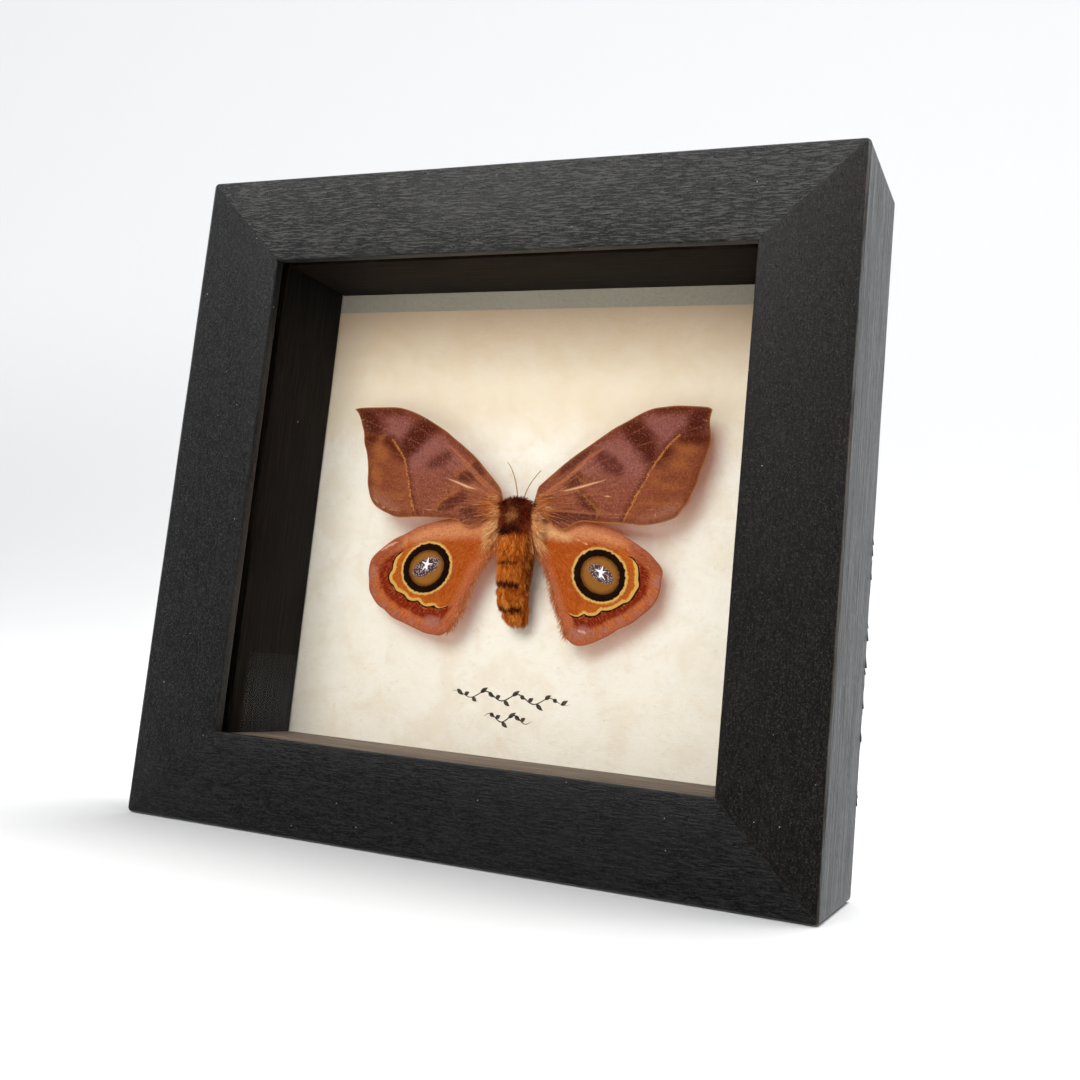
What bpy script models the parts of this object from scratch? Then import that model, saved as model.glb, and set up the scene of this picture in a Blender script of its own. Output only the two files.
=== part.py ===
# A framed silk moth: a deep black box frame with a glass front, a card, and a spread moth set off from the card.
# Metres, +Z up. The frame stands on Z = 0 and its glass faces -Y.
import math

import bmesh
import bpy
from mathutils import Matrix, Vector

MM = 0.001

# Frame
WIDTH = 0.140            # across the front
HEIGHT = 0.1325
DEPTH = 0.029            # of the mouldings
STILE_FACE = 0.0188      # width of a side moulding, seen from the front
RAIL_FACE = 0.0178       # width of the top and bottom mouldings
LIP = 0.0023             # thickness of the lip in front of the glass
REBATE = 0.006           # how far the lip reaches in from the moulding's wall
EDGE_ROUND = 0.0005
GAP = 0.0003             # between pieces that rest on each other
GLASS_THICK = 0.002
CARD_FRONT = 0.026       # depth of the card's front, from the front of the frame
CARD_THICK = 0.0004
BOARD_THICK = 0.0009

# Fittings on the back
POINT_LENGTH = 0.0105
POINT_WIDTH = 0.006
POINT_THICK = 0.0003
POINT_BITE = 0.0035      # how far a point is driven into the moulding
POINT_SPREAD = 0.026     # from the middle of each side
HANGER_LENGTH = 0.046
HANGER_HEIGHT = 0.009
HANGER_THICK = 0.0008
HANGER_TEETH = 9
HANGER_DROP = 0.0085     # of the hanger's middle below the top of the frame
NAIL_HEAD_RADIUS = 0.0016
NAIL_HEAD_HEIGHT = 0.0006
NAIL_RADIUS = 0.0006
NAIL_LENGTH = 0.0055
NAIL_INSET = 0.0035      # from the hanger's end

OVERALL_DEPTH = DEPTH + GAP + HANGER_THICK + GAP + NAIL_HEAD_HEIGHT
FRONT = -OVERALL_DEPTH / 2

# Moth
WING_THICK = 0.0004
WING_GRID = 0.0026       # spacing of the points across a wing
FOREWING_DEPTH = 0.0202  # of the wing's root, from the front of the frame
FOREWING_ARCH = 0.0007   # how far its middle comes forward of its root
FOREWING_SPAN = 0.041
HINDWING_DEPTH = 0.02105
HINDWING_ARCH = 0.0003
HINDWING_DROOP = 0.0005  # how far its outer margin falls back to the card
HINDWING_SPAN = 0.034
HINDWING_SHIFT = -0.0004
THORAX_CENTRE = (0.0, 0.0203, 0.06525)    # X, depth, Z
THORAX_HALF = (0.0037, 0.0026, 0.00345)
HEAD_CENTRE = (0.0001, 0.0203, 0.06975)
HEAD_HALF = (0.0021, 0.0016, 0.00075)
ABDOMEN_TOP = (0.0002, 0.0205, 0.0614)
ABDOMEN_LENGTH = 0.0176
ABDOMEN_RADIUS = 0.0034
ABDOMEN_FALL = 0.0030    # how far its end falls back to the card
ABDOMEN_DRIFT = 0.0008   # how far its end turns to the right
ANTENNA_RADIUS = 0.00014
LEG_RADIUS = 0.00032
PIN_RADIUS = 0.0004
PIN_FOOT_RADIUS = 0.0016
PIN_FOOT_HEIGHT = 0.0004

# Wing outlines in millimetres, X and Z. A third value marks a sharp corner.
FOREWING_LEFT = [
    (-40.9, 87.6, True), (-38.9, 87.9), (-35.0, 88.0), (-30.5, 88.0), (-25.5, 86.8), (-20.0, 84.3),
    (-15.5, 81.5), (-10.0, 77.5), (-5.0, 72.6), (-3.2, 69.6, True), (-3.85, 66.9), (-4.1, 65.5, True),
    (-7.1, 64.8), (-9.9, 63.4), (-13.0, 64.5), (-17.0, 64.7), (-25.0, 64.5), (-29.9, 65.3), (-33.0, 66.8),
    (-35.0, 70.0), (-35.7, 73.9), (-36.6, 78.3), (-37.8, 82.3), (-39.1, 85.4),
]
FOREWING_RIGHT = [
    (39.2, 88.6, True), (35.0, 89.0), (30.0, 88.7), (25.0, 87.2), (20.0, 84.3), (15.0, 80.8),
    (10.0, 77.0), (5.6, 73.1), (3.5, 69.8, True), (3.85, 66.9), (4.1, 65.5, True), (7.8, 65.0),
    (10.3, 63.7), (13.1, 64.8), (17.5, 65.3), (25.0, 65.3), (30.0, 65.6), (34.1, 67.3), (37.0, 72.3),
    (38.7, 78.3), (39.6, 82.5), (39.1, 85.8),
]
HINDWING_LEFT = [
    (-3.8, 64.9, True), (-9.0, 66.0), (-15.0, 64.9), (-19.9, 63.6), (-25.0, 61.2), (-30.0, 58.2),
    (-32.7, 55.8), (-33.2, 53.5), (-32.4, 49.0), (-29.9, 45.9), (-26.1, 43.7), (-21.1, 42.0),
    (-17.4, 40.9), (-14.3, 40.8), (-11.8, 42.9), (-9.9, 46.1), (-8.6, 50.8), (-6.4, 54.8),
    (-4.1, 58.6), (-3.7, 61.0), (-3.6, 63.0),
]
HINDWING_RIGHT = [
    (4.5, 64.9, True), (9.0, 66.3), (16.0, 65.9), (21.9, 64.0), (25.6, 62.2), (29.1, 60.1),
    (32.1, 56.8), (31.9, 53.6), (30.8, 50.1), (28.1, 47.5), (24.4, 45.0), (20.3, 42.5),
    (17.2, 41.2), (14.4, 41.8), (12.7, 44.3), (10.2, 49.8), (8.7, 53.9), (6.1, 58.3), (4.6, 61.0),
    (4.3, 63.0),
]

# Antennae and one side's legs in millimetres: X, depth from the front of the frame, Z.
ANTENNA_LEFT = [(-0.5, 20.0, 70.8), (-0.9, 19.7, 72.5), (-1.5, 19.5, 74.4), (-2.3, 19.4, 76.0), (-3.2, 19.4, 76.9)]
ANTENNA_RIGHT = [(0.8, 20.0, 70.8), (1.2, 19.7, 72.2), (1.9, 19.5, 73.7), (2.9, 19.4, 75.0), (4.0, 19.4, 75.9)]
LEGS = [
    [(1.2, 21.8, 66.6), (3.4, 23.6, 67.2), (2.6, 24.4, 68.6), (1.5, 24.7, 69.4)],
    [(1.4, 21.8, 65.2), (4.2, 23.8, 64.8), (3.0, 24.7, 62.2), (2.2, 24.9, 60.8)],
    [(1.2, 21.8, 63.6), (3.3, 23.8, 62.6), (1.9, 24.9, 60.0), (1.3, 25.1, 57.6)],
]


def clear_scene():
    for old in list(bpy.data.objects):
        bpy.data.objects.remove(old)


def new_collection(name):
    group = bpy.data.collections.new(name)
    bpy.context.scene.collection.children.link(group)
    return group


def material(name, color, roughness, metallic=0.0, transmission=0.0):
    made = bpy.data.materials.new(name)
    made.use_nodes = True
    shader = made.node_tree.nodes["Principled BSDF"]
    shader.inputs["Base Color"].default_value = (*color, 1.0)
    shader.inputs["Roughness"].default_value = roughness
    shader.inputs["Metallic"].default_value = metallic
    shader.inputs["Transmission Weight"].default_value = transmission
    return made


def add(name, mesh, group, finish=None):
    made = bpy.data.objects.new(name, mesh)
    group.objects.link(made)
    if finish:
        mesh.materials.clear()
        mesh.materials.append(finish)
    return made


def hide_cutter(cutter):
    cutter.hide_render = True
    cutter.display_type = "WIRE"


def mesh_of(source):
    """The finished mesh of an object, in world space; the object itself is removed."""
    bpy.context.view_layer.update()
    evaluated = source.evaluated_get(bpy.context.evaluated_depsgraph_get())
    mesh = bpy.data.meshes.new_from_object(evaluated)
    mesh.transform(source.matrix_world)
    bpy.data.objects.remove(source)
    shape = bmesh.new()
    shape.from_mesh(mesh)
    bmesh.ops.remove_doubles(shape, verts=shape.verts, dist=1e-6)
    bmesh.ops.recalc_face_normals(shape, faces=shape.faces)
    shape.to_mesh(mesh)
    shape.free()
    return mesh


def boolean(target, cutter, operation="DIFFERENCE"):
    step = target.modifiers.new("Boolean", "BOOLEAN")
    step.operation = operation
    step.object = cutter


def smooth(mesh, angle=40):
    mesh.shade_smooth()
    mesh.set_sharp_from_angle(angle=math.radians(angle))


def box(name, low, high, group, finish=None):
    """A box between two corners, each given as X, depth from the front of the frame, and Z."""
    size = Vector(high) - Vector(low)
    middle = (Vector(high) + Vector(low)) / 2
    shape = bmesh.new()
    bmesh.ops.create_cube(shape, size=1.0)
    bmesh.ops.scale(shape, vec=size, verts=shape.verts)
    bmesh.ops.translate(shape, vec=middle + Vector((0, FRONT, 0)), verts=shape.verts)
    mesh = bpy.data.meshes.new(name)
    shape.to_mesh(mesh)
    shape.free()
    return add(name, mesh, group, finish)


def flat_outline(name, points, half_thick, group, unit=1.0, curved=False):
    """A filled flat outline in the XZ plane, as thick as twice half_thick along Y."""
    flat = bpy.data.curves.new(name, "CURVE")
    flat.dimensions = "2D"
    flat.fill_mode = "BOTH"
    flat.extrude = half_thick
    flat.resolution_u = 3
    line = flat.splines.new("BEZIER" if curved else "POLY")
    line.use_cyclic_u = True
    if curved:
        line.bezier_points.add(len(points) - 1)
        for knot, point in zip(line.bezier_points, points):
            knot.co = (point[0] * unit, point[1] * unit, 0)
            kind = "VECTOR" if len(point) > 2 else "AUTO"
            knot.handle_left_type = kind
            knot.handle_right_type = kind
    else:
        line.points.add(len(points) - 1)
        for knot, point in zip(line.points, points):
            knot.co = (point[0] * unit, point[1] * unit, 0, 1)
    made = bpy.data.objects.new(name, flat)
    made.rotation_euler = (math.radians(90), 0, 0)
    group.objects.link(made)
    return made


def turned(name, profile, steps, group, finish=None):
    """A turned shape about Y: the profile's points are radius and depth, from its front end to its back end."""
    shape = bmesh.new()
    knots = [shape.verts.new((radius, 0, -depth)) for radius, depth in profile]
    for start, end in zip(knots, knots[1:]):
        shape.edges.new((start, end))
    mesh = bpy.data.meshes.new(name)
    shape.to_mesh(mesh)
    shape.free()
    made = add(name, mesh, group, finish)
    made.rotation_euler = (math.radians(90), 0, 0)
    spin = made.modifiers.new("Screw", "SCREW")
    spin.steps = steps
    spin.render_steps = steps
    spin.use_merge_vertices = True
    spin.merge_threshold = 1e-6
    return made


def thread(name, points, radius, group, resolution=2):
    """A thin tube through points given in millimetres as X, depth and Z."""
    wire = bpy.data.curves.new(name, "CURVE")
    wire.dimensions = "3D"
    wire.bevel_depth = radius
    wire.bevel_resolution = resolution
    wire.use_fill_caps = True
    line = wire.splines.new("POLY")
    line.points.add(len(points) - 1)
    for knot, (x, depth, z) in zip(line.points, points):
        knot.co = (x * MM, FRONT + depth * MM, z * MM, 1)
    made = bpy.data.objects.new(name, wire)
    group.objects.link(made)
    return made


# The four sides of the frame: turn about Y, place, length, own face width and the face width of the sides it meets.
# Each is built as a bottom rail, with its length along X and its outer edge at Z = 0.
SIDES = {
    "bottom_rail": (0, (0, 0, 0), WIDTH, RAIL_FACE, STILE_FACE),
    "left_stile": (90, (-WIDTH / 2, 0, HEIGHT / 2), HEIGHT, STILE_FACE, RAIL_FACE),
    "top_rail": (180, (0, 0, HEIGHT), WIDTH, RAIL_FACE, STILE_FACE),
    "right_stile": (-90, (WIDTH / 2, 0, HEIGHT / 2), HEIGHT, STILE_FACE, RAIL_FACE),
}


def side_matrix(turn, place):
    return Matrix.Translation(place) @ Matrix.Rotation(math.radians(turn), 4, "Y")


def moulding(name, length, face, cross_face, group, finish):
    """One L-shaped moulding with mitred ends."""
    wall = face - REBATE
    profile = [(FRONT, 0), (FRONT, face), (FRONT + LIP, face), (FRONT + LIP, wall), (FRONT + DEPTH, wall),
               (FRONT + DEPTH, 0)]
    bar = flat_outline(name, profile, length / 2, group)
    bar.matrix_world = Matrix(((0, 0, 1, 0), (1, 0, 0, 0), (0, 1, 0, 0), (0, 0, 0, 1)))
    mesh = mesh_of(bar)
    shape = bmesh.new()
    shape.from_mesh(mesh)
    for end in (-1, 1):
        normal = Vector((end * face, 0, cross_face)).normalized()
        corner = Vector((end * length / 2, 0, 0)) - normal * GAP / 2
        everything = shape.verts[:] + shape.edges[:] + shape.faces[:]
        cut = bmesh.ops.bisect_plane(shape, geom=everything, plane_co=corner, plane_no=normal, clear_outer=True)
        rim = [item for item in cut["geom_cut"] if isinstance(item, bmesh.types.BMEdge)]
        bmesh.ops.holes_fill(shape, edges=rim, sides=0)
    bmesh.ops.recalc_face_normals(shape, faces=shape.faces)
    shape.to_mesh(mesh)
    shape.free()
    made = add(name, mesh, group, finish)
    edges = made.modifiers.new("Bevel", "BEVEL")
    edges.width = EDGE_ROUND
    edges.segments = 2
    edges.limit_method = "ANGLE"
    edges.angle_limit = math.radians(40)
    return made


def point_outline(grow=0.0):
    """A flat retaining point with a tapered driven end, seen from the back; Z = 0 is the moulding's wall."""
    half = POINT_WIDTH / 2 + grow
    tip = -POINT_BITE - grow
    tail = POINT_LENGTH - POINT_BITE + grow
    return [(-half, tail), (half, tail), (half, tip + half), (half / 3, tip), (-half / 3, tip), (-half, tip + half)]


def retaining_points(side, moulded, parts, cutters, finish):
    """Two flat points in one side, lying on the board, with the slots that they are driven into."""
    turn, place, _, face, _ = SIDES[side]
    depth = CARD_FRONT + CARD_THICK + GAP + BOARD_THICK + GAP + POINT_THICK / 2
    for number, across in enumerate((-POINT_SPREAD, POINT_SPREAD), 1):
        seat = side_matrix(turn, place) @ Matrix.Translation((across, FRONT + depth, face - REBATE))
        upright = Matrix.Rotation(math.radians(90), 4, "X")
        name = f"retaining_point_{side}_{number}"
        strip = flat_outline(name, point_outline(), POINT_THICK / 2, parts)
        strip.matrix_world = seat @ upright
        add(name, mesh_of(strip), parts, finish).name = name
        slot = flat_outline(name + "_slot", point_outline(GAP), POINT_THICK / 2 + GAP, cutters)
        slot.matrix_world = seat @ upright
        cutter = add(name + "_slot", mesh_of(slot), cutters)
        hide_cutter(cutter)
        boolean(moulded, cutter)


def hanger_outline():
    """A long plate, wider along its middle than at its two nailed ends."""
    half_length = HANGER_LENGTH / 2
    half_height = HANGER_HEIGHT / 2
    end = half_height * 0.6
    middle = half_length - 2 * NAIL_INSET
    return [(-half_length, end), (-middle, half_height), (middle, half_height), (half_length, end),
            (half_length, -end), (middle, -half_height), (-middle, -half_height), (-half_length, -end)]


def hanger_notches(height, cutters):
    """The row of notches along the hanger's lower edge, as one cutter of separate three-sided prisms."""
    pitch = (HANGER_LENGTH - 5 * NAIL_INSET) / HANGER_TEETH
    shape = bmesh.new()
    for notch in range(HANGER_TEETH):
        across = (notch - (HANGER_TEETH - 1) / 2) * pitch
        prism = bmesh.ops.create_cone(shape, cap_ends=True, segments=3, radius1=pitch * 0.5, radius2=pitch * 0.5,
                                      depth=4 * HANGER_THICK)["verts"]
        bmesh.ops.rotate(shape, matrix=Matrix.Rotation(math.radians(90), 3, "X"), verts=prism)
        bmesh.ops.translate(shape, vec=(across, 0, -HANGER_HEIGHT / 2), verts=prism)
    place = (0, FRONT + DEPTH + GAP + HANGER_THICK / 2, height)
    bmesh.ops.translate(shape, vec=place, verts=shape.verts)
    mesh = bpy.data.meshes.new("hanger_notches")
    shape.to_mesh(mesh)
    shape.free()
    made = add("hanger_notches", mesh, cutters)
    hide_cutter(made)
    return made


def hanger(top_rail, parts, cutters, finish):
    """A sawtooth hanger nailed to the back of the top rail."""
    height = HEIGHT - HANGER_DROP
    plate = flat_outline("hanger_plate", hanger_outline(), HANGER_THICK / 2, parts)
    plate.location = (0, FRONT + DEPTH + GAP + HANGER_THICK / 2, height)
    made = add("sawtooth_hanger", mesh_of(plate), parts, finish)
    boolean(made, hanger_notches(height, cutters))
    head_back = OVERALL_DEPTH
    head_front = head_back - NAIL_HEAD_HEIGHT
    tip = DEPTH - NAIL_LENGTH
    for side, sign in (("left", -1), ("right", 1)):
        across = sign * (HANGER_LENGTH / 2 - NAIL_INSET)
        nail = turned(f"hanger_nail_{side}", [
            (0, tip), (NAIL_RADIUS, tip + 2 * NAIL_RADIUS), (NAIL_RADIUS, head_front),
            (NAIL_HEAD_RADIUS, head_front), (NAIL_HEAD_RADIUS, head_front + NAIL_HEAD_HEIGHT / 3),
            (NAIL_HEAD_RADIUS * 0.6, head_back), (0, head_back)], 16, parts, finish)
        nail.location = (across, FRONT, height)
        hole_radius = NAIL_RADIUS + GAP
        hole = turned(f"hanger_nail_{side}_hole", [
            (0, tip - GAP), (hole_radius, tip - GAP), (hole_radius, head_front + GAP),
            (0, head_front + GAP)], 16, cutters)
        hole.location = (across, FRONT, height)
        hide_cutter(hole)
        boolean(made, hole)
        boolean(top_rail, hole)


def build_frame(parts, cutters):
    black = material("black_painted_wood", (0.012, 0.012, 0.013), 0.42)
    dark = material("dark_spacer_wood", (0.016, 0.013, 0.011), 0.55)
    glass = material("glass", (0.95, 0.97, 0.96), 0.02, transmission=1.0)
    parchment = material("parchment_card", (0.80, 0.74, 0.60), 0.85)
    fibre = material("backing_board", (0.24, 0.15, 0.08), 0.8)
    steel = material("zinc_plated_steel", (0.62, 0.62, 0.60), 0.35, metallic=1.0)

    mouldings = {}
    for side, (turn, place, length, face, cross_face) in SIDES.items():
        made = moulding(f"frame_{side}", length, face, cross_face, parts, black)
        made.matrix_world = side_matrix(turn, place)
        mouldings[side] = made

    half_x = WIDTH / 2 - STILE_FACE + REBATE - GAP
    low_z = RAIL_FACE - REBATE + GAP
    high_z = HEIGHT - low_z
    glass_front = LIP + GAP
    glass_back = glass_front + GLASS_THICK
    board_front = CARD_FRONT + CARD_THICK + GAP
    box("glass_pane", (-half_x, glass_front, low_z), (half_x, glass_back, high_z), parts, glass)
    box("card", (-half_x, CARD_FRONT, low_z), (half_x, CARD_FRONT + CARD_THICK, high_z), parts, parchment)
    box("backing_board", (-half_x, board_front, low_z), (half_x, board_front + BOARD_THICK, high_z), parts, fibre)

    spacer = REBATE - 2 * GAP
    spacer_front = glass_back + GAP
    spacer_back = CARD_FRONT - GAP
    inner_x = half_x - spacer
    box("spacer_left", (-half_x, spacer_front, low_z), (-inner_x, spacer_back, high_z), parts, dark)
    box("spacer_right", (inner_x, spacer_front, low_z), (half_x, spacer_back, high_z), parts, dark)
    end_x = inner_x - GAP
    box("spacer_top", (-end_x, spacer_front, high_z - spacer), (end_x, spacer_back, high_z), parts, dark)
    box("spacer_bottom", (-end_x, spacer_front, low_z), (end_x, spacer_back, low_z + spacer), parts, dark)

    for side, moulded in mouldings.items():
        retaining_points(side, moulded, parts, cutters, steel)
    hanger(mouldings["top_rail"], parts, cutters, steel)


def forewing_depth(x):
    return FOREWING_DEPTH - FOREWING_ARCH * math.sin(math.pi * min(abs(x) / FOREWING_SPAN, 1.0))


def hindwing_depth(x):
    out = min(abs(x) / HINDWING_SPAN, 1.0)
    return HINDWING_DEPTH - HINDWING_ARCH * math.sin(math.pi * out) + HINDWING_DROOP * out ** 2


def wing(name, outline, depth_at, shift, parts, cutters, finish):
    """A thin sheet cut to its outline, then set to its depth from the front of the frame."""
    xs = [point[0] * MM for point in outline]
    zs = [point[1] * MM for point in outline]
    size_x = max(xs) - min(xs) + 2 * WING_GRID
    size_z = max(zs) - min(zs) + 2 * WING_GRID
    shape = bmesh.new()
    bmesh.ops.create_grid(shape, x_segments=round(size_x / WING_GRID), y_segments=round(size_z / WING_GRID), size=0.5)
    bmesh.ops.scale(shape, vec=(size_x, size_z, 1), verts=shape.verts)
    bmesh.ops.rotate(shape, matrix=Matrix.Rotation(math.radians(90), 3, "X"), verts=shape.verts)
    middle = ((max(xs) + min(xs)) / 2, 0, (max(zs) + min(zs)) / 2)
    bmesh.ops.translate(shape, vec=middle, verts=shape.verts)
    mesh = bpy.data.meshes.new(name)
    shape.to_mesh(mesh)
    shape.free()
    sheet = add(name, mesh, parts)
    thick = sheet.modifiers.new("Solidify", "SOLIDIFY")
    thick.thickness = WING_THICK
    thick.offset = 0
    cutter = add(name + "_outline", mesh_of(flat_outline(name + "_edge", outline, 2 * WING_THICK, cutters, MM, True)),
                 cutters)
    hide_cutter(cutter)
    boolean(sheet, cutter, "INTERSECT")
    mesh = mesh_of(sheet)
    shape = bmesh.new()
    shape.from_mesh(mesh)
    bmesh.ops.triangulate(shape, faces=shape.faces)
    for corner in shape.verts:
        corner.co.y += FRONT + depth_at(corner.co.x)
        corner.co.x += shift
    shape.to_mesh(mesh)
    shape.free()
    smooth(mesh)
    add(name, mesh, parts, finish).name = name


def furry_form(name, segments, rings, place, parts, finish):
    """A closed round form: each point of a unit sphere goes where place puts it."""
    shape = bmesh.new()
    bmesh.ops.create_uvsphere(shape, u_segments=segments, v_segments=rings, radius=1.0)
    for corner in shape.verts:
        corner.co = place(corner.co)
    mesh = bpy.data.meshes.new(name)
    shape.to_mesh(mesh)
    shape.free()
    smooth(mesh, 80)
    return add(name, mesh, parts, finish)


def ellipsoid(centre, half, square=1.0):
    """Places a unit sphere's points on an ellipsoid; square below 1 makes its ends blunter."""
    def place(unit):
        out = Vector((unit.x, unit.y)).length
        blunt = out ** (square - 1) if out > 1e-6 else 1.0
        return Vector((centre[0] + half[0] * unit.x * blunt, FRONT + centre[1] + half[1] * unit.y * blunt,
                       centre[2] + half[2] * unit.z))
    return place


def abdomen_place(unit):
    along = (1 - unit.z) / 2
    out = Vector((unit.x, unit.y)).length
    blunt = out ** -0.62 if out > 1e-6 else 1.0
    radius = ABDOMEN_RADIUS * blunt * (1.04 - 0.2 * along ** 2)
    return Vector((ABDOMEN_TOP[0] + ABDOMEN_DRIFT * along ** 6 + radius * unit.x,
                   FRONT + ABDOMEN_TOP[1] + ABDOMEN_FALL * along ** 2.2 + 0.92 * radius * unit.y,
                   ABDOMEN_TOP[2] - ABDOMEN_LENGTH * along))


def add_legs(thorax, cutters):
    """Six folded legs grown to the underside of the thorax, which faces the card."""
    for pair, leg in enumerate(LEGS, 1):
        for side, sign in (("left", -1), ("right", 1)):
            name = f"leg_{side}_{pair}"
            path = [(sign * x, depth, z) for x, depth, z in leg]
            shape = add(name + "_form", mesh_of(thread(name, path, LEG_RADIUS, cutters, 1)), cutters)
            hide_cutter(shape)
            boolean(thorax, shape, "UNION")


def build_moth(parts, cutters):
    maroon = material("thorax_fur", (0.075, 0.018, 0.010), 0.9)
    orange = material("abdomen_fur", (0.36, 0.12, 0.03), 0.9)
    mauve = material("forewing_scales", (0.24, 0.09, 0.08), 0.75)
    russet = material("hindwing_scales", (0.50, 0.15, 0.06), 0.75)
    horn = material("antenna_horn", (0.38, 0.22, 0.10), 0.6)
    steel = material("pin_steel", (0.6, 0.6, 0.6), 0.3, metallic=1.0)

    wing("moth_forewing_left", FOREWING_LEFT, forewing_depth, 0.0, parts, cutters, mauve)
    wing("moth_forewing_right", FOREWING_RIGHT, forewing_depth, 0.0, parts, cutters, mauve)
    wing("moth_hindwing_left", HINDWING_LEFT, hindwing_depth, HINDWING_SHIFT, parts, cutters, russet)
    wing("moth_hindwing_right", HINDWING_RIGHT, hindwing_depth, HINDWING_SHIFT, parts, cutters, russet)

    furry_form("moth_head", 14, 8, ellipsoid(HEAD_CENTRE, HEAD_HALF, 0.85), parts, maroon)
    thorax = furry_form("moth_thorax", 18, 12, ellipsoid(THORAX_CENTRE, THORAX_HALF, 0.55), parts, maroon)
    add_legs(thorax, cutters)
    furry_form("moth_abdomen", 16, 18, abdomen_place, parts, orange)

    for side, path in (("left", ANTENNA_LEFT), ("right", ANTENNA_RIGHT)):
        name = f"moth_antenna_{side}"
        add(name, mesh_of(thread(name, path, ANTENNA_RADIUS, parts)), parts, horn).name = name

    pin_top = THORAX_CENTRE[1] + THORAX_HALF[1] + GAP
    pin_end = CARD_FRONT - GAP
    foot = pin_end - PIN_FOOT_HEIGHT
    pin = turned("mounting_pin", [(0, pin_top), (PIN_RADIUS, pin_top), (PIN_RADIUS, foot), (PIN_FOOT_RADIUS, foot),
                                  (PIN_FOOT_RADIUS, pin_end), (0, pin_end)], 16, parts, steel)
    pin.location = (THORAX_CENTRE[0], FRONT, THORAX_CENTRE[2])


def main():
    clear_scene()
    parts = new_collection("framed_silk_moth")
    cutters = new_collection("cutters")
    build_frame(parts, cutters)
    build_moth(parts, cutters)


main()
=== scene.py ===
import math

import bmesh
import bpy
import numpy as np
from mathutils import Matrix, Vector, noise


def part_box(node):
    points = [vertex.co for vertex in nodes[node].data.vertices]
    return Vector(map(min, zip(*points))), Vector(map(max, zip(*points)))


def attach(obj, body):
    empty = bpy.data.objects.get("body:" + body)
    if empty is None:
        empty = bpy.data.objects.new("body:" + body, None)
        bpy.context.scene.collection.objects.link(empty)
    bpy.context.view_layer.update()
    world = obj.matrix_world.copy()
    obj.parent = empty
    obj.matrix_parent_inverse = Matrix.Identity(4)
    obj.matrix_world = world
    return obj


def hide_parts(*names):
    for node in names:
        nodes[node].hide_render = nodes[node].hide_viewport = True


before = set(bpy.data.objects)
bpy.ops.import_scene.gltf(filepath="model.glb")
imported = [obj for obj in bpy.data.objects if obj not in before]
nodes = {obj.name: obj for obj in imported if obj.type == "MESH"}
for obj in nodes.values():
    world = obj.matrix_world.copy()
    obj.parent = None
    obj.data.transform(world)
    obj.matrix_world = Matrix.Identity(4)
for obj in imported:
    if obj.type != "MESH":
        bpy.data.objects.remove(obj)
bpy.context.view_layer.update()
mm = 0.001
frontY = -0.0155  # the front face of the frame; depths are counted from here towards the wall


# camera, at the photograph's viewing angle
cameraSetup = {
    "place": (0.107571, -0.219209, 0.037537),
    "forward": (-0.37437, 0.91753, 0.13411),
    "right": (0.92654, 0.36435, 0.09369),
    "up": (-0.03710, -0.15933, 0.98653),
    "lens": 41.129,
    "shift": (-0.0490, -0.0387),
}


def makeCamera(setup):
    data = bpy.data.cameras.new("photoCamera")
    data.lens = setup["lens"]
    data.sensor_width = 36
    data.shift_x, data.shift_y = setup["shift"]
    data.clip_start = 0.01
    data.clip_end = 20
    right, up, forward = (Vector(setup[key]) for key in ("right", "up", "forward"))
    turn = Matrix((right, up, -forward)).transposed()
    camera = bpy.data.objects.new("photoCamera", data)
    camera.matrix_world = Matrix.Translation(setup["place"]) @ turn.to_4x4()
    bpy.context.scene.collection.objects.link(camera)
    bpy.context.scene.camera = camera


makeCamera(cameraSetup)
print("camera placed")


# colours are written as they look on a screen, 0 to 255
def tone(red, green, blue):
    parts = [value / 255 for value in (red, green, blue)]
    parts = [value / 12.92 if value <= 0.04045 else ((value + 0.055) / 1.055) ** 2.4 for value in parts]
    return (*parts, 1)


# short ways to place shader nodes
def place(tree, kind, inputs=None, **settings):
    made = tree.nodes.new(kind)
    for key, value in settings.items():
        setattr(made, key, value)
    for key, value in (inputs or {}).items():
        if isinstance(value, bpy.types.NodeSocket):
            tree.links.new(value, made.inputs[key])
        else:
            made.inputs[key].default_value = value
    return made


def calc(tree, operation, first, second=0.0):
    return place(tree, "ShaderNodeMath", {0: first, 1: second}, operation=operation).outputs[0]


def plus(tree, first, second):
    return calc(tree, "ADD", first, second)


def times(tree, first, second):
    return calc(tree, "MULTIPLY", first, second)


def centred(tree, noise, amount):  # noise from 0 to 1, brought to either side of zero
    return times(tree, calc(tree, "SUBTRACT", noise, 0.5), amount)


def axis(tree, vector, number):
    return place(tree, "ShaderNodeSeparateXYZ", {0: vector}).outputs[number]


def blend(tree, factor, under, over):
    return place(tree, "ShaderNodeMix", {0: factor, 6: under, 7: over}, data_type="RGBA").outputs[2]


def rise(tree, value, low, high, top=1.0):  # 0 up to low, then softly up to top at high
    sockets = {"Value": value, "From Min": low, "From Max": high, "To Max": top}
    return place(tree, "ShaderNodeMapRange", sockets, interpolation_type="SMOOTHSTEP").outputs[0]


def fall(tree, value, low, high, top=1.0):  # top up to low, then softly down to 0 at high
    sockets = {"Value": value, "From Min": low, "From Max": high, "To Min": top, "To Max": 0.0}
    return place(tree, "ShaderNodeMapRange", sockets, interpolation_type="SMOOTHSTEP").outputs[0]


def grainy(tree, vector, scale, detail=2.0, roughness=0.5, distortion=0.0):
    sockets = {"Vector": vector, "Scale": scale, "Detail": detail, "Roughness": roughness,
               "Distortion": distortion}
    return place(tree, "ShaderNodeTexNoise", sockets).outputs[0]


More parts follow.
